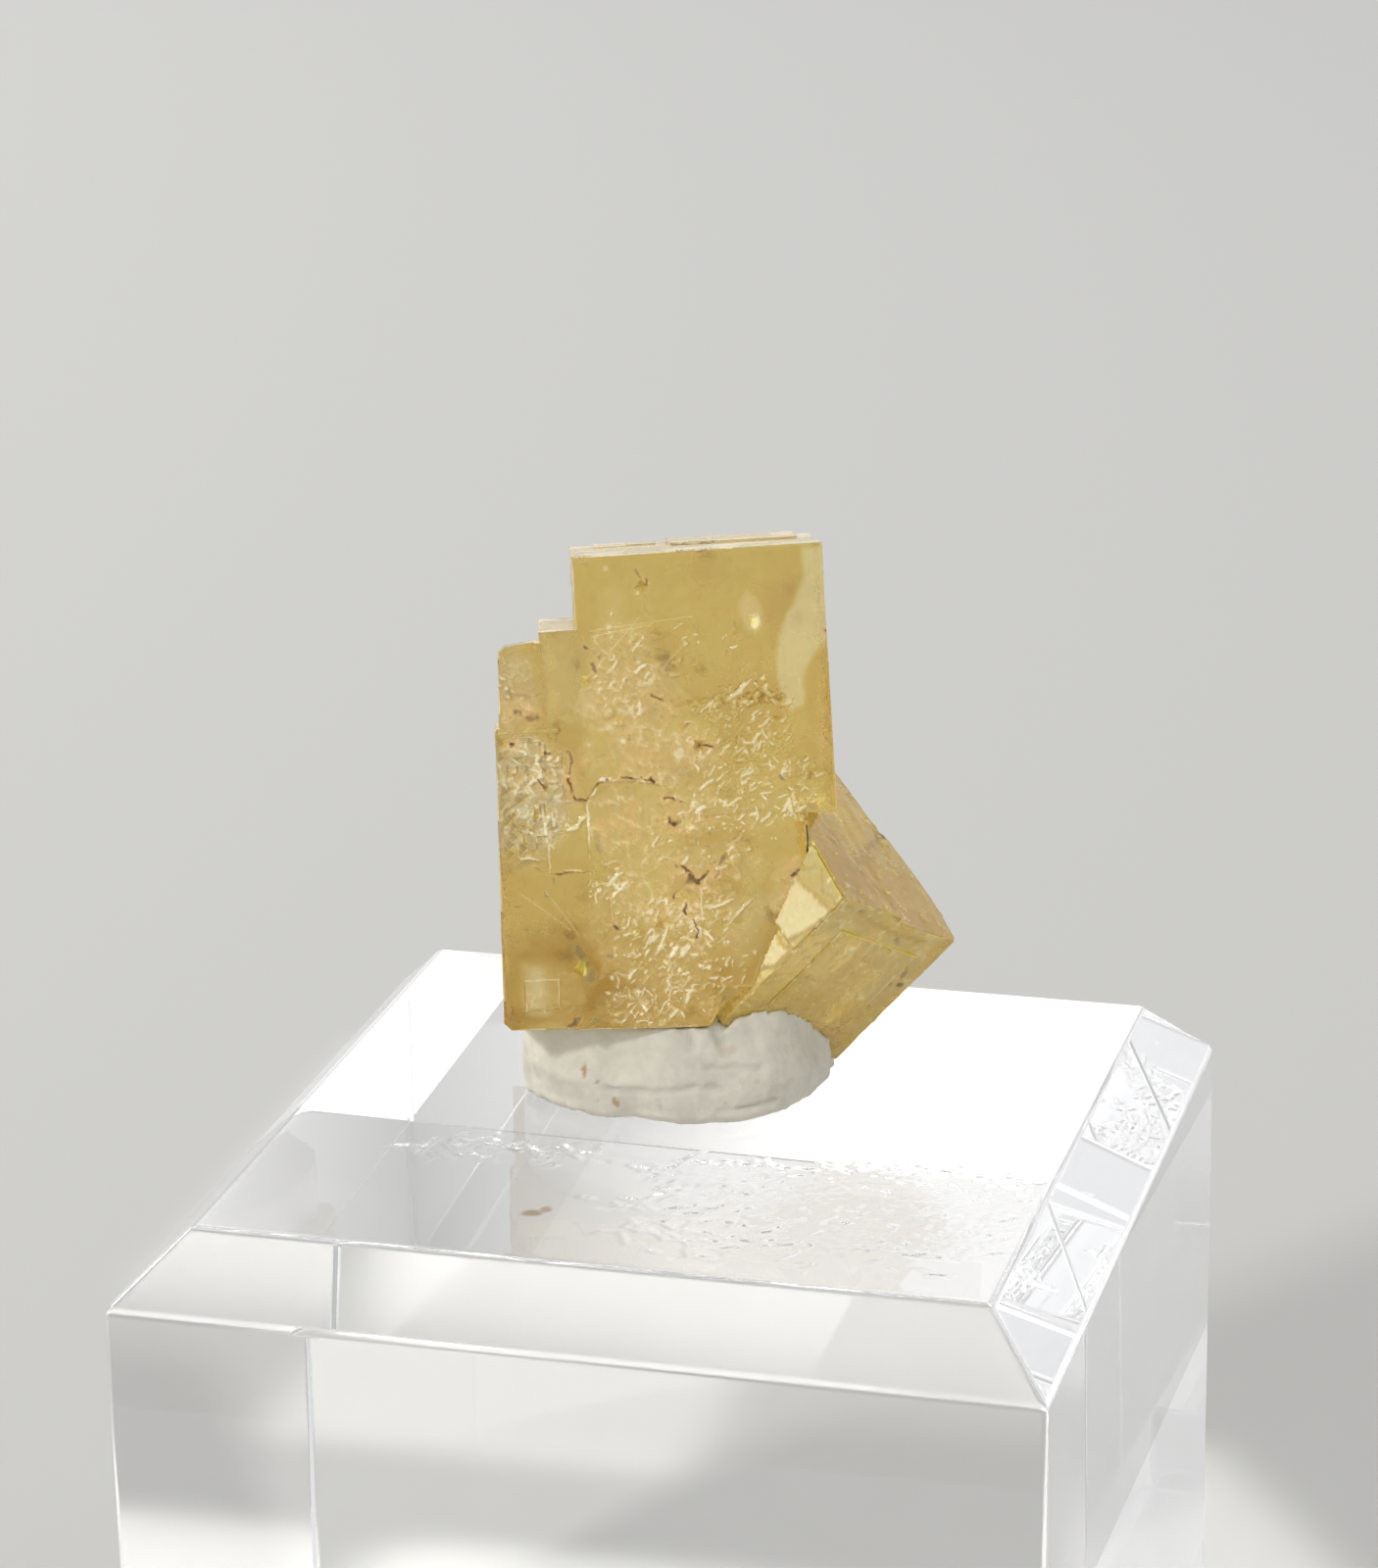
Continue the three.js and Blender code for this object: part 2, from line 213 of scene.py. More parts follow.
def refine_marks(mesh):
    """Halves the front's grid wherever a stroke or a stain needs finer edges."""
    number = SET_NAMES.index("front") + 1
    faces = [face for face in mesh.faces if face.material_index == number]
    centres = np.array([face.calc_center_median() for face in faces])[:, (0, 2)]
    strokes = [(x, y, angle, length, width + 0.045, 1.0) for x, y, angle, length, width, _ in FRONT_STROKES]
    marked = stroke_relief(centres, strokes)[1] > 0.02
    for path, width, _ in STAINS + [(*CRACK, 1.0)]:
        marked |= line_distance(centres, path) < 1.5 * width + 0.09
    for path in HAIR_LINES:
        marked |= line_distance(centres, path) < 0.1
    edges = {edge for face, mark in zip(faces, marked) if mark for edge in face.edges}
    bmesh.ops.subdivide_edges(mesh, edges=list(edges), cuts=1, use_grid_fill=True)


def set_membership(mesh):
    """For each vertex, whether it lies on a face of each set, and whether it's on a sharp edge."""
    mesh.verts.index_update()
    members = np.zeros((len(mesh.verts), len(SET_NAMES) + 1), bool)
    for face in mesh.faces:
        for vert in face.verts:
            members[vert.index, face.material_index] = True
    return members[:, 1:], members.sum(axis=1) > 1


# Relief strokes: short etched ridges, and scratches


def scatter(random, zones, count, area):
    """Points in an area (low x, low y, high x, high y), thick where the zones are strong."""
    low = np.array(area[:2])
    high = np.array(area[2:])
    points = np.empty((0, 2))
    while len(points) < count:
        tries = low + (high - low) * random.random((4 * count, 2))
        kept = random.random(len(tries)) < blobs(tries, zones)
        points = np.concatenate((points, tries[kept]))
    return points[:count]


def strewn(random, points, count):
    """Even random places within the reach of these points."""
    low = points.min(axis=0)
    return low + (points.max(axis=0) - low) * random.random((count, 2))


def between(x, y, to_x, to_y, width, height):
    """A stroke from one point to another."""
    angle = math.atan2(to_y - y, to_x - x)
    return ((x + to_x) / 2, (y + to_y) / 2, angle, math.hypot(to_x - x, to_y - y), width, height)


def stroke_relief(points, strokes):
    """Height, crest and foot (both 0 to 1) of spindle-shaped ridges.

    Each is (x, y, angle, length, half width, height); the steeper it is, the stronger the painted highlight
    on its crest and the painted shade at its foot.
    """
    total = np.zeros(len(points))
    crest = np.zeros(len(points))
    foot = np.zeros(len(points))
    order = np.argsort(points[:, 0])
    ordered = points[order, 0]
    for x, y, angle, length, width, height in strokes:
        reach = length / 2 + 2.2 * width
        first, last = np.searchsorted(ordered, (x - reach, x + reach))
        near = order[first:last]
        dx = points[near, 0] - x
        dy = points[near, 1] - y
        along = (dx * math.cos(angle) + dy * math.sin(angle)) / (length / 2 + width)
        side = (dx * math.sin(angle) - dy * math.cos(angle)) / width
        rise = np.clip(1 - side**2 - along**4, 0, 1)
        shine = min(1.0, 1.5 * abs(height) / width)
        bump = height * np.sqrt(rise)
        total[near] = np.where(np.abs(bump) > np.abs(total[near]), bump, total[near])
        crest[near] = np.maximum(crest[near], shine * rise)
        below = np.clip(1 - (1.3 * (side - 1.1)) ** 2 - along**4, 0, 1)
        foot[near] = np.maximum(foot[near], shine * below)
    return total, crest, foot


# The front's features, placed by (x, z) in the cluster's frame.
# Zones are soft ellipses: x, z, x radius, z radius, turn in degrees, strength.

GLINT_ZONES = [
    (3.0, 10.2, 1.7, 2.2, -25, 0.8), (3.6, 8.1, 2.1, 1.6, 0, 1.0), (2.6, 7.4, 1.9, 1.0, 0, 0.9),
    (0.3, 3.4, 2.3, 1.4, 20, 1.0), (-0.4, 1.5, 1.9, 1.7, 0, 0.9), (1.6, 2.2, 1.6, 1.2, 0, 0.6),
    (1.6, 6.4, 2.6, 1.2, 0, 0.35), (-1.9, 5.0, 0.8, 1.2, 0, 0.6), (-0.9, 12.6, 1.3, 1.8, 0, 0.3),
    (1.0, 13.2, 2.4, 1.0, 0, 0.15),
]
SKIN_ZONES = [(-4.2, 8.2, 1.3, 2.3, 0, 1.0), (-4.6, 11.6, 0.8, 1.5, 0, 0.2)]
FROST_ZONES = [
    (-0.7, 11.4, 1.9, 2.0, 20, 0.9), (0.0, 9.4, 2.4, 1.3, 0, 0.95), (-1.3, 9.6, 1.3, 1.4, 0, 0.85),
    (-0.6, 6.3, 1.4, 0.8, 0, 0.6), (-1.0, 13.1, 1.3, 1.2, 0, 0.7), (0.3, 4.6, 2.3, 2.0, 10, 0.85),
    (0.2, 2.6, 2.4, 1.4, 10, 0.7), (2.0, 5.6, 1.8, 0.9, 0, 0.7), (3.4, 7.6, 1.5, 1.2, 0, 0.25),
    (4.5, 4.8, 0.7, 1.2, 0, 0.5), (-4.3, 8.3, 1.6, 2.3, 0, 1.0), (-4.6, 11.9, 0.9, 1.7, 0, 0.8),
    (-1.2, 7.3, 1.6, 1.2, 0, 0.75), (0.9, 7.5, 1.5, 1.0, 0, 0.75), (-1.8, 3.8, 1.0, 1.4, 0, 0.6),
    (-0.2, 0.7, 2.3, 1.0, 0, 0.6), (-3.9, 1.3, 1.4, 1.0, 0, 0.35),
]
# The plainest ridges: x and z of both ends, half width and height
MAIN_STROKES = [
    (2.6, 11.15, 3.55, 11.95, 0.072, 0.048), (3.75, 10.3, 4.1, 10.6, 0.072, 0.043),
    (1.5, 8.2, 2, 8.6, 0.072, 0.048), (2.1, 8.5, 2.4, 8.75, 0.065, 0.038),
    (3, 8.55, 3.4, 8.8, 0.072, 0.043), (2.35, 7.6, 2.95, 7.9, 0.072, 0.043),
    (1.35, 7.45, 1.6, 7.65, 0.072, 0.048), (3.42, 7.5, 3.45, 6.95, 0.065, 0.043),
    (3.6, 6.9, 3.95, 7.25, 0.072, 0.048), (-1.95, 5, -1.3, 5.55, 0.072, 0.043),
    (-1.7, 4.6, -1.15, 5.25, 0.079, 0.052), (1.36, 4.95, 1.33, 3.6, 0.058, 0.028),
    (1.5, 4.08, 2.45, 4.32, 0.065, 0.043), (2.1, 3.35, 3.25, 4.55, 0.065, 0.033),
    (0.15, 2.5, 0.45, 2.8, 0.086, 0.057), (0.6, 2.55, 0.85, 2.85, 0.079, 0.048),
    (-0.25, 2.6, 0.15, 3.6, 0.072, 0.043), (-1.35, 0.85, -0.9, 1.4, 0.072, 0.048),
    (-1.3, 1.8, -1, 2.15, 0.072, 0.048), (-0.35, 0.5, 0.15, 1.2, 0.058, 0.033),
    (0.1, 0.4, 0.35, 0.65, 0.072, 0.048), (-3.9, 8.1, -3.78, 5.5, 0.065, 0.038),
    (-2.36, 8, -2.42, 6.3, 0.058, 0.038), (-5, 6.25, -4, 6.05, 0.065, 0.033),
    (-3.35, 5.68, -2.6, 5.6, 0.058, 0.028), (-3.1, 7, -2.45, 7.5, 0.101, 0.067),
    (-4.05, 9.4, -3.9, 9.7, 0.101, 0.067), (-1.85, 8.72, -1.6, 8.78, 0.086, 0.057),
    (-2.3, 8.2, -2, 8.5, 0.072, 0.048), (2.85, 13, 3.05, 13.1, 0.072, 0.048),
    (0.9, 13.8, 1.25, 14.05, 0.058, 0.028), (1.3, 9.6, 1.75, 9.58, 0.058, 0.028),
    (5.5, 8.4, 5.85, 8.55, 0.065, 0.038),
]
HAIR_LINES = [
    ((-1.9, 13.9), (1.6, 14.2)), ((-1.9, 13.7), (0.2, 14.0)), ((0.4, 12.4), (1.6, 13.6)),
    ((-2.1, 12.3), (-0.2, 14.3)), ((-2.9, 3.4), (-4.0, 5.0)), ((-3.2, 3.6), (-4.8, 4.9)),
    ((2.0, 1.6), (2.6, 1.0)), ((-5.2, 6.6), (-4.2, 7.4)), ((3.3, 2.3), (2.9, 1.2)),
]
# Reddish-brown stains: each a path of (x, z) points, a half width and a strength
STAINS = [
    ([(-3.0, 9.85), (-2.88, 9.75), (-2.92, 9.1), (-3.0, 8.6), (-2.8, 8.15), (-2.45, 8.08)], 0.07, 1.0),
    ([(-2.45, 8.08), (-2.15, 8.4), (-1.75, 8.75)], 0.05, 0.6),
    ([(-1.5, 8.76), (-0.9, 8.78), (-0.1, 8.66)], 0.045, 0.9), ([(-0.1, 8.75), (0.0, 8.55)], 0.06, 0.7),
    ([(0.3, 8.0), (0.75, 7.96), (0.82, 7.86)], 0.05, 0.9),
    ([(0.4, 7.25), (0.7, 7.12), (0.98, 7.1), (0.95, 6.9)], 0.1, 1.0),
    ([(0.6, 7.18), (0.92, 7.08)], 0.13, 1.0), ([(1.4, 9.78), (1.95, 9.74)], 0.09, 1.0),
    ([(1.1, 10.4), (1.22, 10.55)], 0.06, 0.6), ([(-0.1, 11.75), (0.4, 11.35), (0.8, 11.0)], 0.05, 0.55),
    ([(0.03, 15.65), (0.02, 15.3)], 0.045, 0.8), ([(-0.28, 15.95), (-0.15, 15.7)], 0.06, 0.5),
    ([(-0.1, 15.0), (0.0, 14.3)], 0.05, 0.3), ([(-2.15, 13.4), (-2.05, 13.32)], 0.07, 0.6),
    ([(-1.62, 13.15), (-1.6, 12.95)], 0.06, 0.4), ([(-1.9, 12.7), (-1.82, 12.5)], 0.07, 0.5),
    ([(-4.9, 10.08), (-4.8, 10.05)], 0.08, 0.9), ([(-3.8, 9.72), (-3.6, 9.66)], 0.07, 0.6),
    ([(-4.0, 8.95), (-3.75, 8.6)], 0.06, 0.6),
    ([(-4.9, 11.15), (-4.5, 11.25), (-4.2, 11.0), (-3.9, 11.1)], 0.13, 0.45),
    ([(-4.8, 11.9), (-4.2, 11.7)], 0.12, 0.25), ([(1.2, 5.1), (0.8, 5.55), (0.5, 5.7)], 0.07, 0.6),
    ([(1.2, 5.05), (1.6, 5.3), (1.7, 5.6), (1.95, 5.7)], 0.06, 0.7),
    ([(1.2, 5.0), (0.9, 4.8), (0.75, 4.65)], 0.06, 0.7), ([(1.0, 5.2), (1.3, 5.05)], 0.12, 0.6),
    ([(1.85, 5.1), (2.0, 5.4), (2.2, 5.95)], 0.06, 0.45), ([(0.5, 4.75), (0.43, 4.5)], 0.06, 0.95),
    ([(0.75, 4.25), (0.78, 3.95)], 0.06, 0.8), ([(0.95, 3.75), (1.2, 3.2)], 0.045, 0.7),
    ([(4.55, 5.1), (4.8, 5.2), (5.0, 5.2)], 0.09, 0.75), ([(5.1, 5.4), (5.05, 5.15)], 0.06, 0.5),
    ([(4.4, 4.2), (4.5, 4.1)], 0.07, 0.5), ([(4.3, 8.6), (4.4, 8.45)], 0.06, 0.5),
    ([(6.08, 13.4), (6.1, 13.38)], 0.05, 0.9), ([(5.95, 9.7), (6.05, 9.5)], 0.09, 0.35),
    ([(5.2, 7.45), (5.35, 7.45)], 0.1, 0.35), ([(-1.6, 3.65), (-1.5, 3.55)], 0.09, 0.6),
    ([(-1.9, 2.65), (-1.8, 2.6)], 0.12, 0.4), ([(-3.4, 0.25), (-3.1, 0.5)], 0.12, 0.55),
    ([(-3.5, 5.6), (-2.95, 5.58)], 0.05, 0.6), ([(-4.3, 5.75), (-3.9, 5.7)], 0.06, 0.45),
    ([(1.2, 16.45), (2.6, 16.5)], 0.05, 0.5), ([(-2.3, 16.3), (-1.9, 16.32)], 0.05, 0.4),
]
# A narrow gap where the twin meets the main cube: pressed in a little and painted near black as its shade
CRACK = ([(5.12, 6.75), (5.14, 6.3), (5.11, 5.95), (5.06, 5.5)], 0.04)
SKIN_PATCHES = [(-4.7, 8.2, 1.9, 2.5, 0, 1.0), (-5.0, 12.0, 1.4, 1.7, 0, 0.6)]
# Small hollows, painted dark as their shade
SHADED_PITS = [
    (-2.95, 2.75, 0.22, 0.4, 20, 0.9), (-2.55, 2.0, 0.25, 0.3, 0, 0.7),
    (-2.6, 0.4, 0.35, 0.12, 30, 0.8), (-2.1, 6.5, 0.12, 0.5, 10, 0.7), (-4.5, 6.0, 0.6, 0.12, 10, 0.6),
    (-4.0, 7.9, 0.15, 0.3, 20, 0.7), (-4.35, 8.9, 0.12, 0.2, 0, 0.8), (-3.6, 7.2, 0.1, 0.3, -20, 0.6),
    (-4.9, 7.4, 0.12, 0.3, 10, 0.5), (2.1, 1.1, 0.3, 0.35, 0, 0.5),
]
# Where the frosted surface has a faint rusty tint
RUST_ZONES = [
    (-4.5, 11.2, 0.8, 0.5, 0, 0.9), (-2.6, 9.0, 0.5, 0.9, 0, 0.7), (0.9, 7.3, 1.2, 0.5, 0, 0.6),
    (-1.2, 7.3, 1.5, 0.9, 0, 0.65), (1.1, 5.2, 1.3, 0.7, 0, 0.8), (4.6, 4.9, 0.6, 0.9, 0, 0.8),
    (-0.4, 9.6, 1.8, 0.9, 0, 0.55), (-0.6, 11.6, 1.2, 1.0, 0, 0.35), (0.3, 4.0, 1.2, 0.9, 0, 0.55),
    (-4.2, 8.9, 0.9, 0.7, 0, 0.4),
]
# Outlines of paler and darker patches, (x, z) points with a softness in millimetres and a strength. Many
# paint the lighter and darker zones that reflections inside the crystal make: painted reflection and shade.
PALE_PATCHES = [
    ([(5.5, 16.4), (6.2, 16.4), (6.3, 14), (6.1, 13.2), (5.7, 12.7), (5.3, 12.0), (5.2, 10.9), (4.7, 10.7),
      (4.3, 12.0), (4.5, 13.2), (4.75, 13.8), (5.15, 14.5), (5.45, 15.2)], 0.12, 0.85),
    ([(-2.6, 11.9), (-1.5, 12.0), (-1.4, 11.0), (-2.4, 10.9)], 0.5, 0.5),
    ([(-4.9, 2.5), (-4.2, 2.5), (-4.1, 0.8), (-4.8, 0.8)], 0.3, 0.85),
    ([(-3.6, 13.9), (-2.4, 13.9), (-2.4, 10.8), (-3.6, 10.8)], 0.2, 0.3),
    ([(2.2, 4.6), (3.9, 4.4), (3.4, 2.6), (2.4, 1.6)], 0.35, 0.5),
    ([(-4.9, 0.45), (-3.6, 0.45), (-3.6, 0.15), (-4.9, 0.15)], 0.15, 0.5),
    ([(-1.3, 15.3), (-0.8, 15.3), (-0.8, 14.0), (-1.3, 14.0)], 0.4, 0.35),
]
DARK_PATCHES = [
    ([(6.1, 13.2), (6.4, 13), (6.4, 9.8), (5.4, 9.9), (5.2, 10.8), (5.3, 12.0), (5.7, 12.7)], 0.08, 0.7),
    ([(4.1, 16.3), (5.4, 16.3), (5.4, 15.2), (5.1, 14.4), (4.7, 13.8), (4.2, 12.8), (4.2, 15)], 0.12, 0.55),
    ([(-5.6, 6.3), (-2.4, 6.0), (-2.3, 2.6), (-5.7, 2.6)], 0.25, 0.75),
    ([(-5.2, 6.35), (-3.4, 6.4), (-3.2, 5.5), (-4.6, 5.7)], 0.15, 0.9),
    ([(-2.2, 7.2), (-1.95, 7.1), (-2.15, 6.2), (-2.3, 6.3)], 0.08, 0.9),
    ([(-3.5, 13.9), (-2.4, 14.0), (-2.3, 12.9), (-3.5, 12.7)], 0.2, 0.1),
    ([(-2.4, 15.2), (-2.0, 15.2), (-2.0, 13.7), (-2.5, 13.8)], 0.2, 0.4),
    ([(-2.0, 1.0), (2.0, 1.0), (2.0, -0.2), (-2.0, -0.2)], 0.5, 0.5),
    ([(1.7, 2.4), (2.8, 1.4), (2.6, 0.3), (1.6, 0.2)], 0.25, 0.7),
    ([(-2.8, 8.9), (-2.45, 8.3), (-2.3, 9.9), (-2.8, 9.9)], 0.15, 0.6),
    ([(-3.5, 2.6), (-2.3, 2.7), (-2.2, 1.4), (-3.4, 1.3)], 0.2, 0.5),
    ([(-5.4, 13.4), (-3.6, 13.6), (-3.6, 10.3), (-5.4, 10.2)], 0.25, 0.8),
]
# Painted highlights: small bright spots where the crystal sparkles
HIGHLIGHT_SPOTS = [
    (3.72, 13.9, 0.2, 0.34, -5, 1.0), (3.6, 14.2, 0.45, 0.8, 10, 0.35),
    (-1.02, 10.05, 0.08, 0.1, 0, 0.8), (-0.25, 15.1, 0.1, 0.1, 0, 0.6), (-1.3, 14.0, 0.1, 0.12, 0, 0.5),
    (-1.3, 16.0, 0.1, 0.12, 0, 0.5), (4.1, 8.85, 0.06, 0.07, 0, 0.9), (4.55, 7.5, 0.07, 0.06, 0, 0.9),
]

# Painted green-gold glints
GLINT_SPOTS = [
    (-2.86, 2.2, 0.12, 0.24, 0, 1.0), (3.72, 13.86, 0.12, 0.26, -5, 0.5), (-1.0, 3.4, 0.07, 0.1, 0, 0.5),
]


def front_strokes(random):
    """The little etch marks of the front, from faint to bright, mostly slanting up to the right."""
    strokes = [between(*ends) for ends in MAIN_STROKES]
    for x, y in scatter(random, GLINT_ZONES, 1500, (-2.6, -0.1, 5.6, 16.2)):
        slant = random.choice((0.75, 0.45, 1.15, 1.6, 2.3, 0.0), p=(0.44, 0.2, 0.16, 0.08, 0.06, 0.06))
        angle = slant + 0.15 * random.standard_normal()
        length = 0.02 + 0.55 * random.random() ** 3
        width = 0.042 + 0.04 * random.random() ** 2
        strokes.append((x, y, angle, length, width, width * (0.12 + 0.55 * random.random() ** 1.6)))
    for x, y in scatter(random, SKIN_ZONES, 420, (-5.6, 5.4, -2.7, 13.4)):
        angle = random.choice((0.1, 0.8, 1.5, 2.2)) + 0.4 * random.standard_normal()
        length = 0.02 + 0.35 * random.random() ** 2
        width = 0.05 + 0.05 * random.random()
        height = width * (0.08 + 0.5 * random.random() ** 3)
        strokes.append((x, y, angle, length, width, height * random.choice((1, 1, -1))))
    return strokes


FRONT_STROKES = front_strokes(np.random.default_rng(5))


def terraces(points, seed):
    """Low flat-topped steps with straight, slightly ragged sides, from 0 to 1."""
    push = np.stack((smooth_noise(points, 0.9, seed), smooth_noise(points, 0.9, seed + 1)), axis=1)
    bent = points + 0.12 * push
    random = np.random.default_rng(seed)
    height = np.zeros(len(points))
    low = points.min(axis=0)
    high = points.max(axis=0)
    for _ in range(16):
        centre = low + (high - low) * random.random(2)
        half = 0.4 + 1.9 * random.random(2)
        inside = np.min(half - np.abs(bent - centre), axis=1)
        height += random.choice((1, -1)) * 0.5 * ramp(inside, -0.03, 0.03)
    return height


def warped(points, size, amount, seed):
    """Points pushed about by noise, to make drawn outlines ragged."""
    push = np.stack((layered_noise(points, size, seed, 2), layered_noise(points, size, seed + 7, 2)), axis=1)
    return points + amount * push


def wrinkles(points, size, seed):
    """Wandering little ridges from 0 to 1, as on etched crystal."""
    return (1 - np.abs(layered_noise(points, size, seed, 2))) ** 6


def inside_patch(points, outline, softness):
    """1 well inside an outline, 0 outside, with a soft edge."""
    crossings = np.zeros(len(points), bool)
    for (x, y), (to_x, to_y) in zip(outline, outline[1:] + outline[:1]):
        spans = (y > points[:, 1]) != (to_y > points[:, 1])
        with np.errstate(divide="ignore", invalid="ignore"):
            at = x + (points[:, 1] - y) * (to_x - x) / (to_y - y if to_y != y else 1e-9)
        crossings ^= spans & (points[:, 0] < at)
    distance = line_distance(points, outline + outline[:1])
    signed = np.where(crossings, distance, -distance)
    return ramp(signed, -softness, softness)


def patches(points, outlines):
    total = np.zeros(len(points))
    for outline, softness, strength in outlines:
        total = np.maximum(total, strength * inside_patch(points, outline, softness))
    return total


def front_surface(points):
    """Relief of the front in millimetres, and how strong each look is at each point."""
    height, crest, foot = stroke_relief(warped(points, 0.28, 0.075, 199), FRONT_STROKES)
    ragged = warped(warped(points, 0.5, 0.12, 201), 0.16, 0.09, 203)
    # Hair lines: low ridges, each painted with a highlight along it
    for path in HAIR_LINES:
        line = 1 - ramp(line_distance(points, path), 0.01, 0.05)
        height += 0.012 * line
        crest = np.maximum(crest, 0.52 * line)
    frost = blobs(warped(points, 0.8, 0.3, 211), FROST_ZONES)
    frost *= ramp(layered_noise(points, 0.9, 221), -0.9, 0.0)
    etched = 0.06 + 0.94 * frost
    slanting = points @ np.array(((0.5, 0.5), (0.55, -0.55))).T
    ridges = 0.6 * wrinkles(slanting, 0.3, 231) + 0.4 * wrinkles(points, 0.24, 233)
    height += 0.085 * etched * ridges + 0.01 * smooth_noise(points, 2.4, 41)
    height += 0.008 * terraces(points, 31)
    # Painted highlights on the ridge crests and the wrinkles' tops, and painted shade at the ridges' feet and
    # in the wrinkles' valleys
    glow = ramp(crest, 0.2, 0.9)
    cream_highlight = np.maximum(glow, 0.65 * etched * ramp(ridges, 0.35, 0.85))
    hollow_shade = np.maximum(0.6 * foot * (1 - glow), 0.5 * etched * (1 - ramp(ridges, 0.02, 0.22)))
    cream_highlight = np.maximum(cream_highlight, blobs(points, HIGHLIGHT_SPOTS))
    stain = np.zeros(len(points))
    rust = np.zeros(len(points))
    grainy = ramp(layered_noise(points, 0.22, 251, 3), -0.3, 0.15)
    for path, width, strength in STAINS:
        distance = line_distance(ragged, path)
        near = (1 - ramp(distance, 0.3 * width, 1.2 * width)) * (grainy if len(path) > 2 else 1)
        stain = np.maximum(stain, min(1.0, 1.5 * strength) * near)
        rust = np.maximum(rust, strength * (1 - ramp(distance, 0.6 * width, 4.5 * width)))
    rust = np.maximum(rust, blobs(ragged, RUST_ZONES) * ramp(layered_noise(points, 0.45, 255, 3), -0.2, 0.5))
    # The crack is a shallow groove painted near black: painted shade
    crack_shade = 1 - ramp(line_distance(points, CRACK[0]), 0.5 * CRACK[1], 1.3 * CRACK[1])
    height -= 0.08 * crack_shade
    specks = ramp(smooth_noise(points, 0.16, 261), 0.8, 0.95) * ramp(smooth_noise(points, 1.3, 263), 0.0, 0.5)
    stain = np.maximum(stain, 0.7 * specks)
    soft = warped(points, 1.0, 0.12, 271)
    return height, {
        "frost": frost, "cream_highlight": cream_highlight, "hollow_shade": hollow_shade, "stain": stain, "rust": rust, "crack_shade": crack_shade,
        "pale": patches(soft, PALE_PATCHES), "dark": patches(soft, DARK_PATCHES),
        "skin": blobs(ragged, SKIN_PATCHES), "pit_shade": blobs(ragged, SHADED_PITS), "painted_glint": blobs(points, GLINT_SPOTS),
        # The front's top edge painted pale: a painted sheen of the top face seen at a grazing angle
        "top_sheen": 0.75 * ramp(points[:, 1], MAIN_TOP - 0.04, MAIN_TOP + 0.02),
    }


# How frosted, dark, pale, shaded and skin-like each seen face of the twinned cube is; the dark, pale and
# shaded amounts paint each face's shade and light by which way it faces
TWIN_LOOKS = {
    "twin_upper": (0.75, 0.9, 0.0, 1.4, 0.0),
    "twin_front": (1.0, 0.35, 0.0, 0.65, 0.7),
    "twin_left": (0.3, 0.0, 1.0, 0.3, 0.0),
}
# Small raised chips painted bright as highlights, brown stains, and steps painted dark as shade on those
# faces, by their two grid directions
TWIN_CHIP_HIGHLIGHTS = {
    "twin_upper": [
        (0.47, 2.16, 0.07, 0.25, -30, 0.9), (0.03, 4.02, 0.13, 0.1, 0, 1.0), (0.2, 3.2, 0.07, 0.12, 0, 0.7),
    ],
    "twin_front": [
        (-5.79, 3.85, 0.16, 0.2, 0, 1.0), (-5.5, 3.95, 0.08, 0.12, 0, 0.8), (-7.2, 3.3, 0.1, 0.1, 0, 0.7),
        (-7.3, 4.8, 0.1, 0.08, 0, 0.6), (-4.6, 2.6, 0.3, 0.06, 60, 0.5), (-3.0, 4.5, 0.07, 0.07, 0, 0.6),
    ],
    "twin_left": [
        (-0.38, -6.26, 0.16, 0.3, -20, 1.0), (0.58, -4.88, 0.1, 0.1, 0, 0.8),
        (-0.36, -4.38, 0.1, 0.13, 0, 0.9), (0.75, -7.5, 0.08, 0.16, 0, 0.8),
    ],
}
TWIN_STAINS = {
    "twin_upper": [(4.73, 7.0, 0.1, 0.35, 30, 0.8), (3.0, 5.2, 0.12, 0.2, 0, 0.4)],
    "twin_front": [
        (-4.84, 7.38, 0.1, 0.16, 0, 0.8), (-5.4, 7.1, 0.35, 0.12, 30, 0.45), (-6.6, 5.4, 0.4, 0.12, 60, 0.4),
    ],
    "twin_left": [(1.6, -6.9, 0.12, 0.2, 0, 0.35)],
}
TWIN_STEPS = {
    "twin_upper": [],
    "twin_front": [[(-7.3, 2.0), (-6.9, 4.6), (-6.9, 6.6)]],
    "twin_left": [[(1.9, -5.1), (0.42, -6.3), (-0.1, -6.9)], [(0.9, -3.9), (0.39, -4.2), (-0.46, -4.82)]],
}

# Pale raised slabs, painted dark as shade along their rims
TWIN_SLABS = {
    "twin_left": [
        [(1.97, -6.37), (-0.45, -7.0), (0.2, -4.9), (2.12, -4.67)],
        [(1.7, -4.35), (-0.15, -4.75), (-0.15, -3.9), (0.75, -2.7), (1.7, -3.1)],
    ],
}


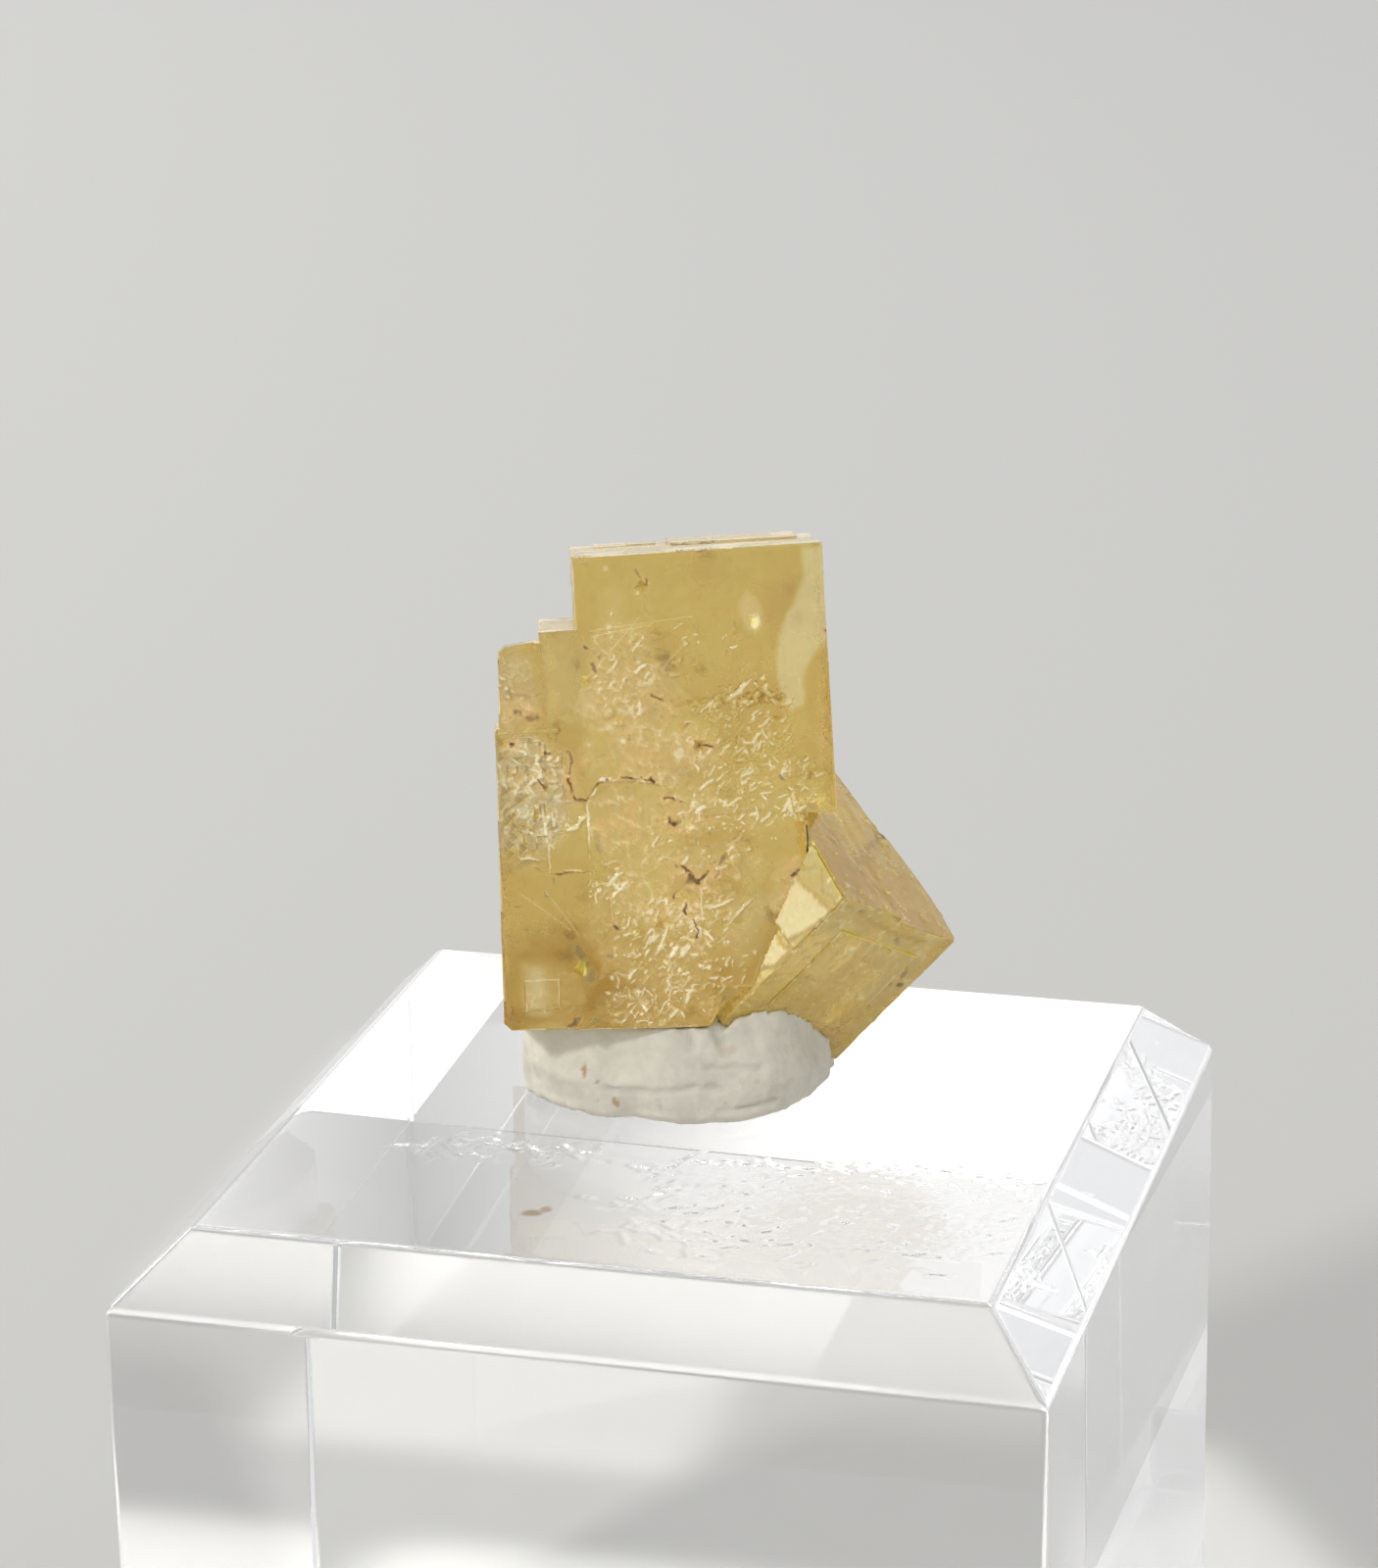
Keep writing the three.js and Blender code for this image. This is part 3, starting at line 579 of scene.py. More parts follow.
def twin_surface(name, points):
    """The twinned cube's faces: growth striations, etched frost and chipped edges."""
    seed = 300 + 20 * SET_NAMES.index(name)
    frost_amount, dark_amount, pale_amount, shade_amount, skin_amount = TWIN_LOOKS[name]
    streaked = np.stack((points[:, 0] * 0.35, points[:, 1]), axis=1)
    height = 0.008 * layered_noise(streaked, 0.3, seed, 2) + 0.025 * terraces(points, seed + 3)
    height += 0.012 * layered_noise(points, 0.8, seed + 5, 3)
    patchy = ramp(layered_noise(points, 1.1, seed + 7), -0.5, 0.5)
    coarse = wrinkles(points, 0.7, seed + 9)
    fine = layered_noise(points, 0.3, seed + 10, 2)
    frost = frost_amount * (0.5 + 0.7 * patchy)
    height += 0.02 * frost * (coarse - 0.3) + 0.01 * frost * fine
    random = np.random.default_rng(seed)
    strokes = []
    for x, y in strewn(random, points, 70):
        width = 0.06 + 0.05 * random.random()
        length = 0.04 + 0.4 * random.random() ** 3
        strokes.append((x, y, random.uniform(0, math.pi), length, width, 0.45 * width))
    bumps, crest, foot = stroke_relief(points, strokes)
    height += bumps
    # Painted highlights on crests and relief tops; painted shade at the ridges' feet and in low spots, and
    # darker along the veins
    cream_highlight = np.maximum(ramp(crest, 0.2, 0.9), 0.35 * frost * ramp(coarse + 0.5 * fine, 0.5, 1.1))
    vein = ramp(wrinkles(points, 1.3, seed + 12), 0.72, 0.95)
    hollow_shade = np.maximum(0.6 * foot * (1 - cream_highlight), 0.45 * pale_amount * vein)
    hollow_shade = np.maximum(hollow_shade, 0.4 * frost * ramp(-fine - 0.4 * coarse, 0.1, 0.7))
    stain = 0.6 * ramp(smooth_noise(points, 0.25, seed + 11), 0.7, 0.95)
    stain *= ramp(smooth_noise(points, 1.5, seed + 13), 0, 0.6)
    ragged = warped(points, 0.3, 0.08, seed + 17)
    slabs = np.zeros(len(points))
    rim_shade = np.zeros(len(points))
    for outline in TWIN_SLABS.get(name, []):
        slabs = np.maximum(slabs, inside_patch(ragged, outline, 0.07))
        rim_shade = np.maximum(rim_shade, 1 - ramp(line_distance(ragged, outline + outline[:1]), 0.03, 0.13))
    height += 0.05 * slabs
    hollow_shade = np.maximum(hollow_shade, 0.8 * rim_shade)
    cream_highlight = np.maximum(cream_highlight, 0.62 * slabs * (1 - rim_shade))
    # Chips: raised a little and painted as highlights
    chip_highlights = blobs(ragged, TWIN_CHIP_HIGHLIGHTS[name])
    height += 0.04 * chip_highlights
    cream_highlight = np.maximum(cream_highlight, chip_highlights)
    stain = np.maximum(stain, blobs(ragged, TWIN_STAINS[name]))
    # Steps: lines painted dark as shade
    for path in TWIN_STEPS[name]:
        hollow_shade = np.maximum(hollow_shade, 0.8 * (1 - ramp(line_distance(ragged, path), 0.04, 0.16)))
    dark = dark_amount * (0.6 + 0.6 * ramp(layered_noise(streaked, 0.5, seed + 15), -0.4, 0.6))
    pale = pale_amount * (0.55 + 0.5 * (1 - patchy)) * (1 - 0.6 * vein)
    shade = shade_amount * (0.75 + 0.35 * (1 - patchy))
    # Painted shade, stronger toward the front face's lower end by the pad
    if name == "twin_front":
        shade += 0.45 * ramp(points[:, 0], -4.8, -3.0)
    return height, {
        "frost": frost, "cream_highlight": cream_highlight, "hollow_shade": hollow_shade, "stain": stain, "pale": pale, "dark": dark,
        "shade": shade, "skin": skin_amount * (0.7 + 0.3 * patchy),
    }


def plain_surface(name, points):
    """Quieter growth relief for the faces away from the front."""
    seed = 100 + 20 * SET_NAMES.index(name)
    height = 0.01 * terraces(points, seed) + 0.02 * smooth_noise(points, 1.8, seed + 2)
    height += 0.008 * layered_noise(points, 0.6, seed + 3, 2)
    patchy = ramp(layered_noise(points, 1.4, seed + 5), -0.2, 0.6)
    random = np.random.default_rng(seed)
    strokes = []
    for x, y in strewn(random, points, 120):
        strokes.append((x, y, random.uniform(0, math.pi), 0.1 + 0.6 * random.random() ** 2, 0.16, 0.05))
    bumps, crest, _ = stroke_relief(points, strokes)
    height += bumps * patchy
    if name == "top":
        height = 0.2 * (height - height.max())
    stain = 0.6 * ramp(smooth_noise(points, 0.4, seed + 7), 0.6, 0.9) * patchy
    even = 0.45
    # Paler ridge crests: a painted highlight
    found = {"cream_highlight": 0.6 * crest * patchy, "stain": stain}
    # The underside, the back and the twin's hidden faces are dull: a matte surface with a darker colour that
    # paints the shade seen through them
    if name == "under" or name.startswith("twin"):
        even = 0.8
        found["matte_and_shade"] = 0.75 + 0.25 * patchy
    elif name == "back":
        even = 0.6
        found["matte_and_shade"] = 0.8 * ramp(3.2 - points[:, 1] + 0.8 * layered_noise(points, 1.2, seed + 9), 0, 1.6)
    elif name == "top":
        # The top painted pale: a painted sheen, as it is seen at a grazing angle
        found["top_sheen"] = 0.5 + 0.3 * patchy
    found["frost"] = even + (0.9 - even) * patchy
    return height, found


def surface(name, points):
    if name == "front":
        return front_surface(points)
    if name in TWIN_LOOKS:
        return twin_surface(name, points)
    return plain_surface(name, points)


EDGE_ROUNDING = 0.03
# How far back the main and the lower cube go, without the growth plates on their backs
MAIN_BACK = 8.0
LOWER_BACK = 8.6
LOWER_TOP = 10.75
# Growth plates stand out less than this, and are pressed in by this share: their edges would show through
PLATE_LIMIT = 0.7
PLATE_PRESS = 0.97
# Looks of the sides end here, and etch pits in the front go no deeper than this
SIDE_LOOKS_END = 7.4
PIT_DEPTH = 1.2


def shaped_crystal(mesh):
    """Moves the grid's vertices by each face set's relief and takes the sharpness off the edges."""
    members, sharp = set_membership(mesh)
    co = np.array([vert.co for vert in mesh.verts])
    moved = co.copy()
    inward = np.zeros_like(co)
    masks = {mask: np.zeros(len(co)) for mask in (*LOOKS, "shade")}
    for number, name in enumerate(SET_NAMES):
        normal, first, second, _ = FACE_SETS[name]
        normal = np.array(normal, float)
        on_set = members[:, number]
        flat = np.stack((co @ np.array(first, float), co @ np.array(second, float)), axis=1)
        height, found = surface(name, flat[on_set])
        moved[on_set] += height[:, None] * normal
        inward[on_set] -= normal
        seen = np.ones(on_set.sum())
        if name in ("under", "top", "left", "right"):
            outer = co[on_set, 2] < 1 if name == "under" else co[on_set, 1] < SIDE_LOOKS_END
            outer |= (name == "top") & (co[on_set, 2] > MAIN_TOP - 0.5)
            seen = np.where(outer, 1.0, 0.0)
        for mask, values in found.items():
            masks[mask][on_set] = np.maximum(masks[mask][on_set], seen * values)
    loose = ~members.any(axis=1) & (co[:, 1] < PIT_DEPTH)
    for mask, values in front_surface(co[loose][:, (0, 2)])[1].items():
        masks[mask][loose] = values
    length = np.linalg.norm(inward, axis=1)
    behind = np.where(co[:, 2] > LOWER_TOP, MAIN_BACK, LOWER_BACK)
    rounding = np.where(sharp & (length > 1.2) & (co[:, 1] < behind - 0.01), EDGE_ROUNDING, 0.0)
    moved += rounding[:, None] * inward / np.maximum(length, 1e-9)[:, None]
    # Rounded edges away from the pale top and pale patches get a paler colour: a painted edge highlight
    masks["edge"] = np.where((rounding > 0) & (masks["top_sheen"] < 0.1) & (masks["pale"] < 0.3), 1.0, 0.0)
    proud = np.maximum(co[:, 1] - behind, 0)
    moved[:, 1] -= np.where(proud < PLATE_LIMIT, PLATE_PRESS * proud, 0)
    return co, moved, masks


def linked(name, data):
    """A new object in the scene."""
    obj = bpy.data.objects.new(name, data)
    scene.collection.objects.link(obj)
    return obj


def mesh_object(name, vertices, faces):
    data = bpy.data.meshes.new(name)
    data.from_pydata([tuple(v) for v in vertices], [], faces)
    return linked(name, data)


def world_points(local):
    """Cluster-frame millimetres to world metres, as an array."""
    matrix = np.array(Matrix.Scale(MM, 4) @ cluster_matrix())
    return local @ matrix[:3, :3].T + matrix[:3, 3]


def smooth_by_angle(obj, degrees):
    obj.data.shade_smooth()
    obj.data.set_sharp_from_angle(angle=math.radians(degrees))


def add_values(obj, name, values):
    attribute = obj.data.attributes.new(name, "FLOAT", "POINT")
    attribute.data.foreach_set("value", np.asarray(values, np.float32))


def add_colours(obj, name, colours):
    attribute = obj.data.color_attributes.new(name, "FLOAT_COLOR", "POINT")
    full = np.ones((len(colours), 4), np.float32)
    full[:, :3] = colours
    attribute.data.foreach_set("color", full.ravel())


BODY = (1.0, 0.835, 0.30)
# Each look's colour, and the share of see-through and the roughness that go with it. Several paint light and
# shade rather than colour: highlights on crests, spots, chips and edges, the glints, shade in hollows, pits
# and the crack, the sheen on the top, part of the dull faces' darkness, and part of the dark and pale
# patches.
LOOKS = {
    "dark": ((0.90, 0.68, 0.20), 0.0, 0.0),
    "pale": ((0.99, 0.95, 0.60), -0.25, 0.0),
    "frost": ((0.80, 0.61, 0.255), -0.44, 0.25),
    "skin": ((0.61, 0.50, 0.26), -0.3, 0.1),
    "rust": ((0.88, 0.575, 0.22), -0.25, 0.1),
    "hollow_shade": ((0.58, 0.42, 0.15), -0.2, 0.1),
    "pit_shade": ((0.34, 0.25, 0.08), -0.5, 0.1),
    "top_sheen": ((0.93, 0.88, 0.74), -0.5, 0.2),
    "matte_and_shade": ((0.78, 0.64, 0.27), -0.6, 0.3),
    "edge": ((0.95, 0.85, 0.55), -0.3, 0.1),
    "cream_highlight": ((1.0, 0.93, 0.66), -0.55, 0.1),
    "stain": ((0.10, 0.045, 0.012), -0.85, 0.3),
    "painted_glint": ((1.0, 0.98, 0.25), -0.8, 0.0),
    "crack_shade": ((0.03, 0.02, 0.012), -1.0, 0.3),
}


def crystal_looks(co, masks):
    """Base colour, see-through share and roughness at each vertex."""
    cloud = layered_noise(co, 1.5, 401, 3)[:, None] * np.array((0.03, 0.05, 0.12))
    grain = layered_noise(co, 0.3, 411, 2)[:, None] * np.array((0.03, 0.04, 0.06))
    colour = np.array(BODY) * (1 + cloud + grain)
    clear = np.ones(len(co))
    rough = np.full(len(co), 0.03)
    for mask, (target, clearer, rougher) in LOOKS.items():
        share = np.clip(masks[mask], 0, 1)
        colour += share[:, None] * (np.array(target) - colour)
        clear += share * clearer
        rough += share * rougher
    colour *= 1 - masks["shade"][:, None] * np.array((0.11, 0.15, 0.52))
    return np.clip(colour, 0, 1), np.clip(clear, 0.15 * (1 - masks["crack_shade"]), 1), np.clip(rough, 0, 0.6)


def build_crystal():
    mesh = local_crystal()
    cut_grids(mesh)
    refine_marks(mesh)
    bmesh.ops.triangulate(mesh, faces=[face for face in mesh.faces if len(face.verts) > 4])
    co, moved, masks = shaped_crystal(mesh)
    faces = [tuple(vert.index for vert in face.verts) for face in mesh.faces]
    mesh.free()
    obj = mesh_object("fluorite_crystals", world_points(moved), faces)
    colour, clear, rough = crystal_looks(co, masks)
    add_colours(obj, "tint", colour)
    add_values(obj, "clear", clear)
    add_values(obj, "rough", rough)
    smooth_by_angle(obj, 38)
    return obj


# Materials


FLUORITE_IOR = 1.434
ACRYLIC_IOR = 1.491


def new_material(name):
    material = bpy.data.materials.new(name)
    material.use_nodes = True
    tree = material.node_tree
    return material, tree, tree.nodes["Principled BSDF"], tree.nodes["Material Output"]


def node(tree, kind, values=None, **settings):
    """A new shader node, with its input values by name and its settings."""
    made = tree.nodes.new(kind)
    for name, value in settings.items():
        setattr(made, name, value)
    for name, value in (values or {}).items():
        made.inputs[name].default_value = value
    return made


def mapped(tree, source, low, high, to_low, to_high):
    ends = {"From Min": low, "From Max": high, "To Min": to_low, "To Max": to_high}
    stretch = node(tree, "ShaderNodeMapRange", ends)
    tree.links.new(source, stretch.inputs["Value"])
    return stretch.outputs["Result"]


def place_axes(tree, space):
    """X, Y and Z of each place, as outputs, in one of the texture coordinate node's spaces."""
    split = node(tree, "ShaderNodeSeparateXYZ")
    tree.links.new(node(tree, "ShaderNodeTexCoord").outputs[space], split.inputs["Vector"])
    return split.outputs


def noise(tree, scale, detail=3, roughness=0.5):
    """Noise over the object's own coordinates, in metres."""
    source = node(tree, "ShaderNodeTexCoord").outputs["Object"]
    texture = node(tree, "ShaderNodeTexNoise", {"Scale": scale, "Detail": detail, "Roughness": roughness})
    tree.links.new(source, texture.inputs["Vector"])
    return texture.outputs["Fac"]


def bump(tree, shader, height, distance, strength=1.0):
    made = node(tree, "ShaderNodeBump", {"Strength": strength, "Distance": distance})
    tree.links.new(height, made.inputs["Height"])
    tree.links.new(made.outputs["Normal"], shader.inputs["Normal"])


def attribute(tree, name, output):
    return node(tree, "ShaderNodeAttribute", attribute_name=name).outputs[output]


def tint_base(tree, shader, grain, darkest):
    """Base colour: the vertex colours, times a tint between one colour and white by a factor socket."""
    mix = node(tree, "ShaderNodeMix", data_type="RGBA")
    tree.links.new(grain, mix.inputs["Factor"])
    mix.inputs["A"].default_value = (*darkest, 1)
    mix.inputs["B"].default_value = (1, 1, 1, 1)
    tinted = node(tree, "ShaderNodeMix", {"Factor": 1.0}, data_type="RGBA", blend_type="MULTIPLY")
    tree.links.new(attribute(tree, "tint", "Color"), tinted.inputs["A"])
    tree.links.new(mix.outputs["Result"], tinted.inputs["B"])
    tree.links.new(tinted.outputs["Result"], shader.inputs["Base Color"])


def fluorite_material():
    material, tree, shader, output = new_material("fluorite")
    shader.inputs["IOR"].default_value = FLUORITE_IOR
    tint_base(tree, shader, mapped(tree, noise(tree, 5200, 3, 0.6), 0.3, 0.7, 0, 1), (0.93, 0.9, 0.84))
    tree.links.new(attribute(tree, "rough", "Fac"), shader.inputs["Roughness"])
    tree.links.new(attribute(tree, "clear", "Fac"), shader.inputs["Transmission Weight"])
    bump(tree, shader, noise(tree, 9000, 2), 0.00002, 0.4)
    absorb = node(tree, "ShaderNodeVolumeAbsorption", {"Color": (0.985, 0.84, 0.1, 1), "Density": 42})
    tree.links.new(absorb.outputs["Volume"], output.inputs["Volume"])
    return material


def putty_material():
    material, tree, shader, _ = new_material("putty")
    tint_base(tree, shader, mapped(tree, noise(tree, 2400, 4, 0.6), 0.3, 0.7, 0, 1), (0.9, 0.9, 0.89))
    tree.links.new(mapped(tree, noise(tree, 900, 3), 0.3, 0.7, 0.45, 0.75), shader.inputs["Roughness"])
    bump(tree, shader, noise(tree, 3200, 3), 0.00005, 0.6)
    return material


def acrylic_material():
    material, tree, shader, _ = new_material("clear_acrylic")
    shader.inputs["IOR"].default_value = ACRYLIC_IOR
    shader.inputs["Transmission Weight"].default_value = 1.0
    tint_base(tree, shader, mapped(tree, noise(tree, 260, 3), 0.35, 0.65, 0, 1), (0.985, 0.985, 0.98))
    shader.inputs["Roughness"].default_value = 0
    return material


# Putty pad and clear block


PAD_CELL = 0.12
LIFT_LIMIT = 0.9
# Creases are paths of (x, z) points with a half width and a depth, and specks are soft ellipses
PAD_CREASES = [
    ([(-0.1, 28.7), (0.3, 28.45), (0.5, 28.2)], 0.22, 0.16),
    ([(0.4, 28.7), (0.9, 28.55), (1.4, 28.35)], 0.3, 0.2),
    ([(-2.6, 26.6), (-1.2, 26.62), (-0.3, 26.72), (0.6, 26.9), (1.4, 26.75)], 0.16, 0.1),
    ([(1.3, 25.98), (2.2, 25.95), (3.1, 26.1)], 0.14, 0.1),
    ([(-0.8, 26.4), (-0.6, 25.9)], 0.14, 0.08),
    ([(0.9, 27.6), (1.8, 27.55), (2.6, 27.4)], 0.18, 0.08),
]
PAD_SPECKS = [
    (-3.44, 27.15, 0.13, 0.24, 10, 1.0), (-3.38, 27.5, 0.06, 0.1, 0, 0.6),
    (-2.91, 26.85, 0.1, 0.08, 0, 0.8), (-2.88, 26.1, 0.07, 0.08, 0, 0.7),
    (-2.3, 26.1, 0.1, 0.2, 20, 0.9), (1.55, 26.2, 0.06, 0.05, 0, 0.5), (2.6, 26.9, 0.12, 0.08, 0, 0.3),
    (2.0, 26.95, 0.1, 0.1, 0, 0.25), (1.6, 28.1, 0.3, 0.2, 0, 0.25),
]


def fine_copy(source, cell):
    """A copy of a node's mesh, remeshed into small even cells."""
    obj = linked("remesh_source", source.data.copy())
    remesh = obj.modifiers.new("remesh", "REMESH")
    remesh.mode = "VOXEL"
    remesh.voxel_size = cell * MM
    depsgraph = bpy.context.evaluated_depsgraph_get()
    data = bpy.data.meshes.new_from_object(obj.evaluated_get(depsgraph))
    bpy.data.objects.remove(obj)
    return data


def vertex_array(data):
    flat = np.empty(3 * len(data.vertices))
    data.vertices.foreach_get("co", flat)
    return flat.reshape(-1, 3)


def build_pad(crystal):
    """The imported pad's form, pressed up against the crystal, with lumps, creases and a frayed foot."""
    data = fine_copy(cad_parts["putty_pad"], PAD_CELL)
    co = vertex_array(data) / MM
    normals = np.array([vert.normal for vert in data.vertices])
    push = 0.13 * layered_noise(co, 1.6, 501, 2) + 0.075 * layered_noise(co, 0.55, 511, 3)
    side = ramp(1 - np.abs(normals[:, 2]), 0.2, 0.7)
    front = co[:, (0, 2)]
    shade = np.zeros(len(co))
    for path, width, depth in PAD_CREASES:
        ragged = warped(front, 0.4, 0.07, 521)
        near = (1 - ramp(line_distance(ragged, path), 0, width)) * (normals[:, 1] < 0.1)
        push -= depth * near
        shade = np.maximum(shade, near)
    foot = 1 - ramp(co[:, 2] - BLOCK_TOP, 0.05, 0.5)
    push += foot * side * (0.1 + 0.22 * layered_noise(co[:, :2], 0.5, 531, 2))
    co += push[:, None] * normals
    edges = np.array([tuple(edge.vertices) for edge in data.edges])
    raise_to_crystal(co, normals, edges, crystal)
    co[:, 2] = np.maximum(co[:, 2], BLOCK_TOP)
    data.vertices.foreach_set("co", (co * MM).ravel())
    data.update()
    data.name = "mounting_putty"
    obj = linked("mounting_putty", data)
    specks = blobs(warped(front, 0.25, 0.08, 541), PAD_SPECKS) * (normals[:, 1] < 0.2)
    grey = ramp(layered_noise(co, 0.9, 551, 3), -0.3, 0.7)
    colour = np.array((0.685, 0.645, 0.535)) * (1 - 0.14 * grey[:, None])
    colour *= 1 - 0.15 * shade[:, None]
    share = specks[:, None]
    add_colours(obj, "tint", colour * (1 - share) + np.array((0.42, 0.24, 0.11)) * share)
    data.shade_smooth()
    return obj


def raise_to_crystal(co, normals, edges, crystal):
    """Lifts the pad's upper side until it all but meets the crystal above it, fading out at the border."""
    vertices = [vert.co / MM for vert in crystal.data.vertices]
    tree = BVHTree.FromPolygons(vertices, [tuple(face.vertices) for face in crystal.data.polygons])
    lift = np.zeros(len(co))
    limit = np.full(len(co), np.inf)
    for index in np.nonzero(normals[:, 2] > -0.2)[0]:
        start = Vector(co[index]) - Vector((0, 0, 0.6))
        hit = tree.ray_cast(start, Vector((0, 0, 1)), 2.0)[0]
        if hit is not None:
            limit[index] = hit.z - 0.02 - co[index, 2]
            if limit[index] < LIFT_LIMIT:
                lift[index] = limit[index] * float(ramp(normals[index, 2], 0.05, 0.4))
    for _ in range(8):
        total = np.zeros(len(co))
        count = np.zeros(len(co))
        for one, other in ((0, 1), (1, 0)):
            np.add.at(total, edges[:, one], lift[edges[:, other]])
            np.add.at(count, edges[:, one], 1)
        lift = np.minimum(0.5 * lift + 0.5 * total / count, limit)
    co[:, 2] += lift


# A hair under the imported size, so that rounding of numbers never takes the block past it
BLOCK_FIT = 1 - 1e-6
TOP_GRID = 0.3
SCRATCH_GRID = 0.1
SCRATCH_AREA = (-9.0, -13.4, 13.4, -2.6)
SCRATCH_ZONES = [
    (9.5, -5.2, 5.0, 2.0, 3, 1.0), (10.5, -8.0, 3.6, 2.6, 0, 0.45), (4.0, -5.2, 4.5, 1.3, 4, 0.6),
    (-5.5, -5.0, 4.0, 1.2, 5, 0.12), (6.0, -9.0, 7.0, 3.5, 0, 0.1),
]

# Specks on the block's top
BLOCK_SPECKS = [
    (-2.85, -9.9, 0.42, 0.3, 20, 1.0), (-2.45, -9.5, 0.2, 0.3, 0, 0.9), (3.4, -11.2, 0.1, 0.08, 0, 0.6),
    (8.4, -10.3, 0.08, 0.1, 0, 0.5),
]


def top_scratches():
    """Fine short scratches on the block's top, thickest at its front right."""
    random = np.random.default_rng(11)
    strokes = []
    for x, y in scatter(random, SCRATCH_ZONES, 1800, (-9.0, -13.4, 12.9, -2.6)):
        angle = random.uniform(0, math.pi)
        length = 0.3 + 1.5 * random.random() ** 3
        strokes.append((x, y, angle, length, 0.11, random.choice((-0.032, -0.022, 0.012))))
    return strokes


def scratch_places(low, high):
    """Grid lines across the block's top: close together within the scratched area."""
    reach = BLOCK_HALF - BLOCK_BEVEL
    outer = np.arange(-reach + TOP_GRID, reach, TOP_GRID)
    outer = outer[(outer < low) | (outer > high)]
    return sorted([*outer, *np.arange(low, high, SCRATCH_GRID)])


def build_block():
    """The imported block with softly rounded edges, flat faces kept flat, and fine scratches on top."""
    mesh = bmesh.new()
    mesh.from_mesh(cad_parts["display_block"].data)
    tint = mesh.verts.layers.float_color.new("tint")
    for vert in mesh.verts:
        vert[tint] = (1, 1, 1, 1)
    bmesh.ops.transform(mesh, matrix=Matrix.Scale(BLOCK_FIT / MM, 4), verts=mesh.verts)
    bmesh.ops.remove_doubles(mesh, verts=mesh.verts, dist=1e-4)
    bmesh.ops.dissolve_limit(mesh, angle_limit=math.radians(1), verts=mesh.verts, edges=mesh.edges)
    upper = [edge for edge in mesh.edges if max(vert.co.z for vert in edge.verts) > 1]
    rounding = bmesh.ops.bevel(
        mesh, geom=upper, offset=0.2, segments=4, profile=0.5, affect="EDGES", clamp_overlap=True
    )
    for face in rounding["faces"]:
        face.material_index = 1
    top = [face for face in mesh.faces if face.material_index == 0 and face.normal.z > 0.99]
    cut_across(mesh, top, Vector((1, 0, 0)), scratch_places(SCRATCH_AREA[0], SCRATCH_AREA[2]))
    top = [face for face in mesh.faces if face.material_index == 0 and face.normal.z > 0.99]
    cut_across(mesh, top, Vector((0, 1, 0)), scratch_places(SCRATCH_AREA[1], SCRATCH_AREA[3]))
    flat_area = [vert for vert in mesh.verts if vert.co.z > BLOCK_TOP - 1e-3 and not touches_rounding(vert)]
    points = np.array([vert.co[:2] for vert in flat_area])
    heights = stroke_relief(warped(points, 1.2, 0.25, 601), top_scratches())[0]
    for vert, height in zip(flat_area, heights):
        vert.co.z += height - 0.013
    marks = blobs(warped(points, 0.3, 0.08, 611), BLOCK_SPECKS)
    tint = mesh.verts.layers.float_color["tint"]
    for vert, mark in zip(flat_area, marks):
        vert[tint] = (1 - 0.6 * mark, 1 - 0.72 * mark, 1 - 0.85 * mark, 1)
    mesh.normal_update()
    normals = [loop_normal(face, loop.vert) for face in mesh.faces for loop in face.loops]
    bmesh.ops.transform(mesh, matrix=Matrix.Scale(MM, 4), verts=mesh.verts)
    for face in mesh.faces:
        face.material_index = 0
        face.smooth = True
    data = bpy.data.meshes.new("clear_block")
    mesh.to_mesh(data)
    mesh.free()
    data.normals_split_custom_set(normals)
    return linked("clear_block", data)


def touches_rounding(vert):
    return any(face.material_index == 1 for face in vert.link_faces)


def loop_normal(face, vert):
    """Flat faces keep their own normal, and a rounding meets them without a crease."""
    if face.material_index == 0 and face.normal.z < 0.9:
        return face.normal.copy()
    near = [other for other in vert.link_faces if other.normal.dot(face.normal) > 0.5]
    flat = [other for other in near if other.material_index == 0]
    if face.material_index == 1 and flat:
        return max(flat, key=lambda other: other.normal.dot(face.normal)).normal.copy()
    total = Vector((0, 0, 0))
    for other in flat if face.material_index == 0 else near:
        total += other.normal
    return total.normalized()


# Stage, lights and camera


FLOOR_REACH = 2000.0
FLOOR_DROP = 0.05
WELL_HALF = 15.86
WELL_DEPTH = 12.0
FLOOR_LIGHT_HEIGHT = 0.1


def glow_material():
    """The recess's own light: bright at its front, softer to the back and the left."""
    material, tree, shader, _ = new_material("recess_glow")
    shader.inputs["Base Color"].default_value = (0.1, 0.1, 0.1, 1)
    shader.inputs["Emission Color"].default_value = (1, 0.995, 0.98, 1)
    axes = place_axes(tree, "Object")
    reach = WELL_HALF * MM
    strength = node(tree, "ShaderNodeMath", operation="MULTIPLY")
    tree.links.new(mapped(tree, axes["Y"], -reach, reach, 1.4, 0.8), strength.inputs[0])
    tree.links.new(mapped(tree, axes["X"], -reach, -0.2 * reach, 0.42, 1.02), strength.inputs[1])
    tree.links.new(strength.outputs["Value"], shader.inputs["Emission Strength"])
    return material


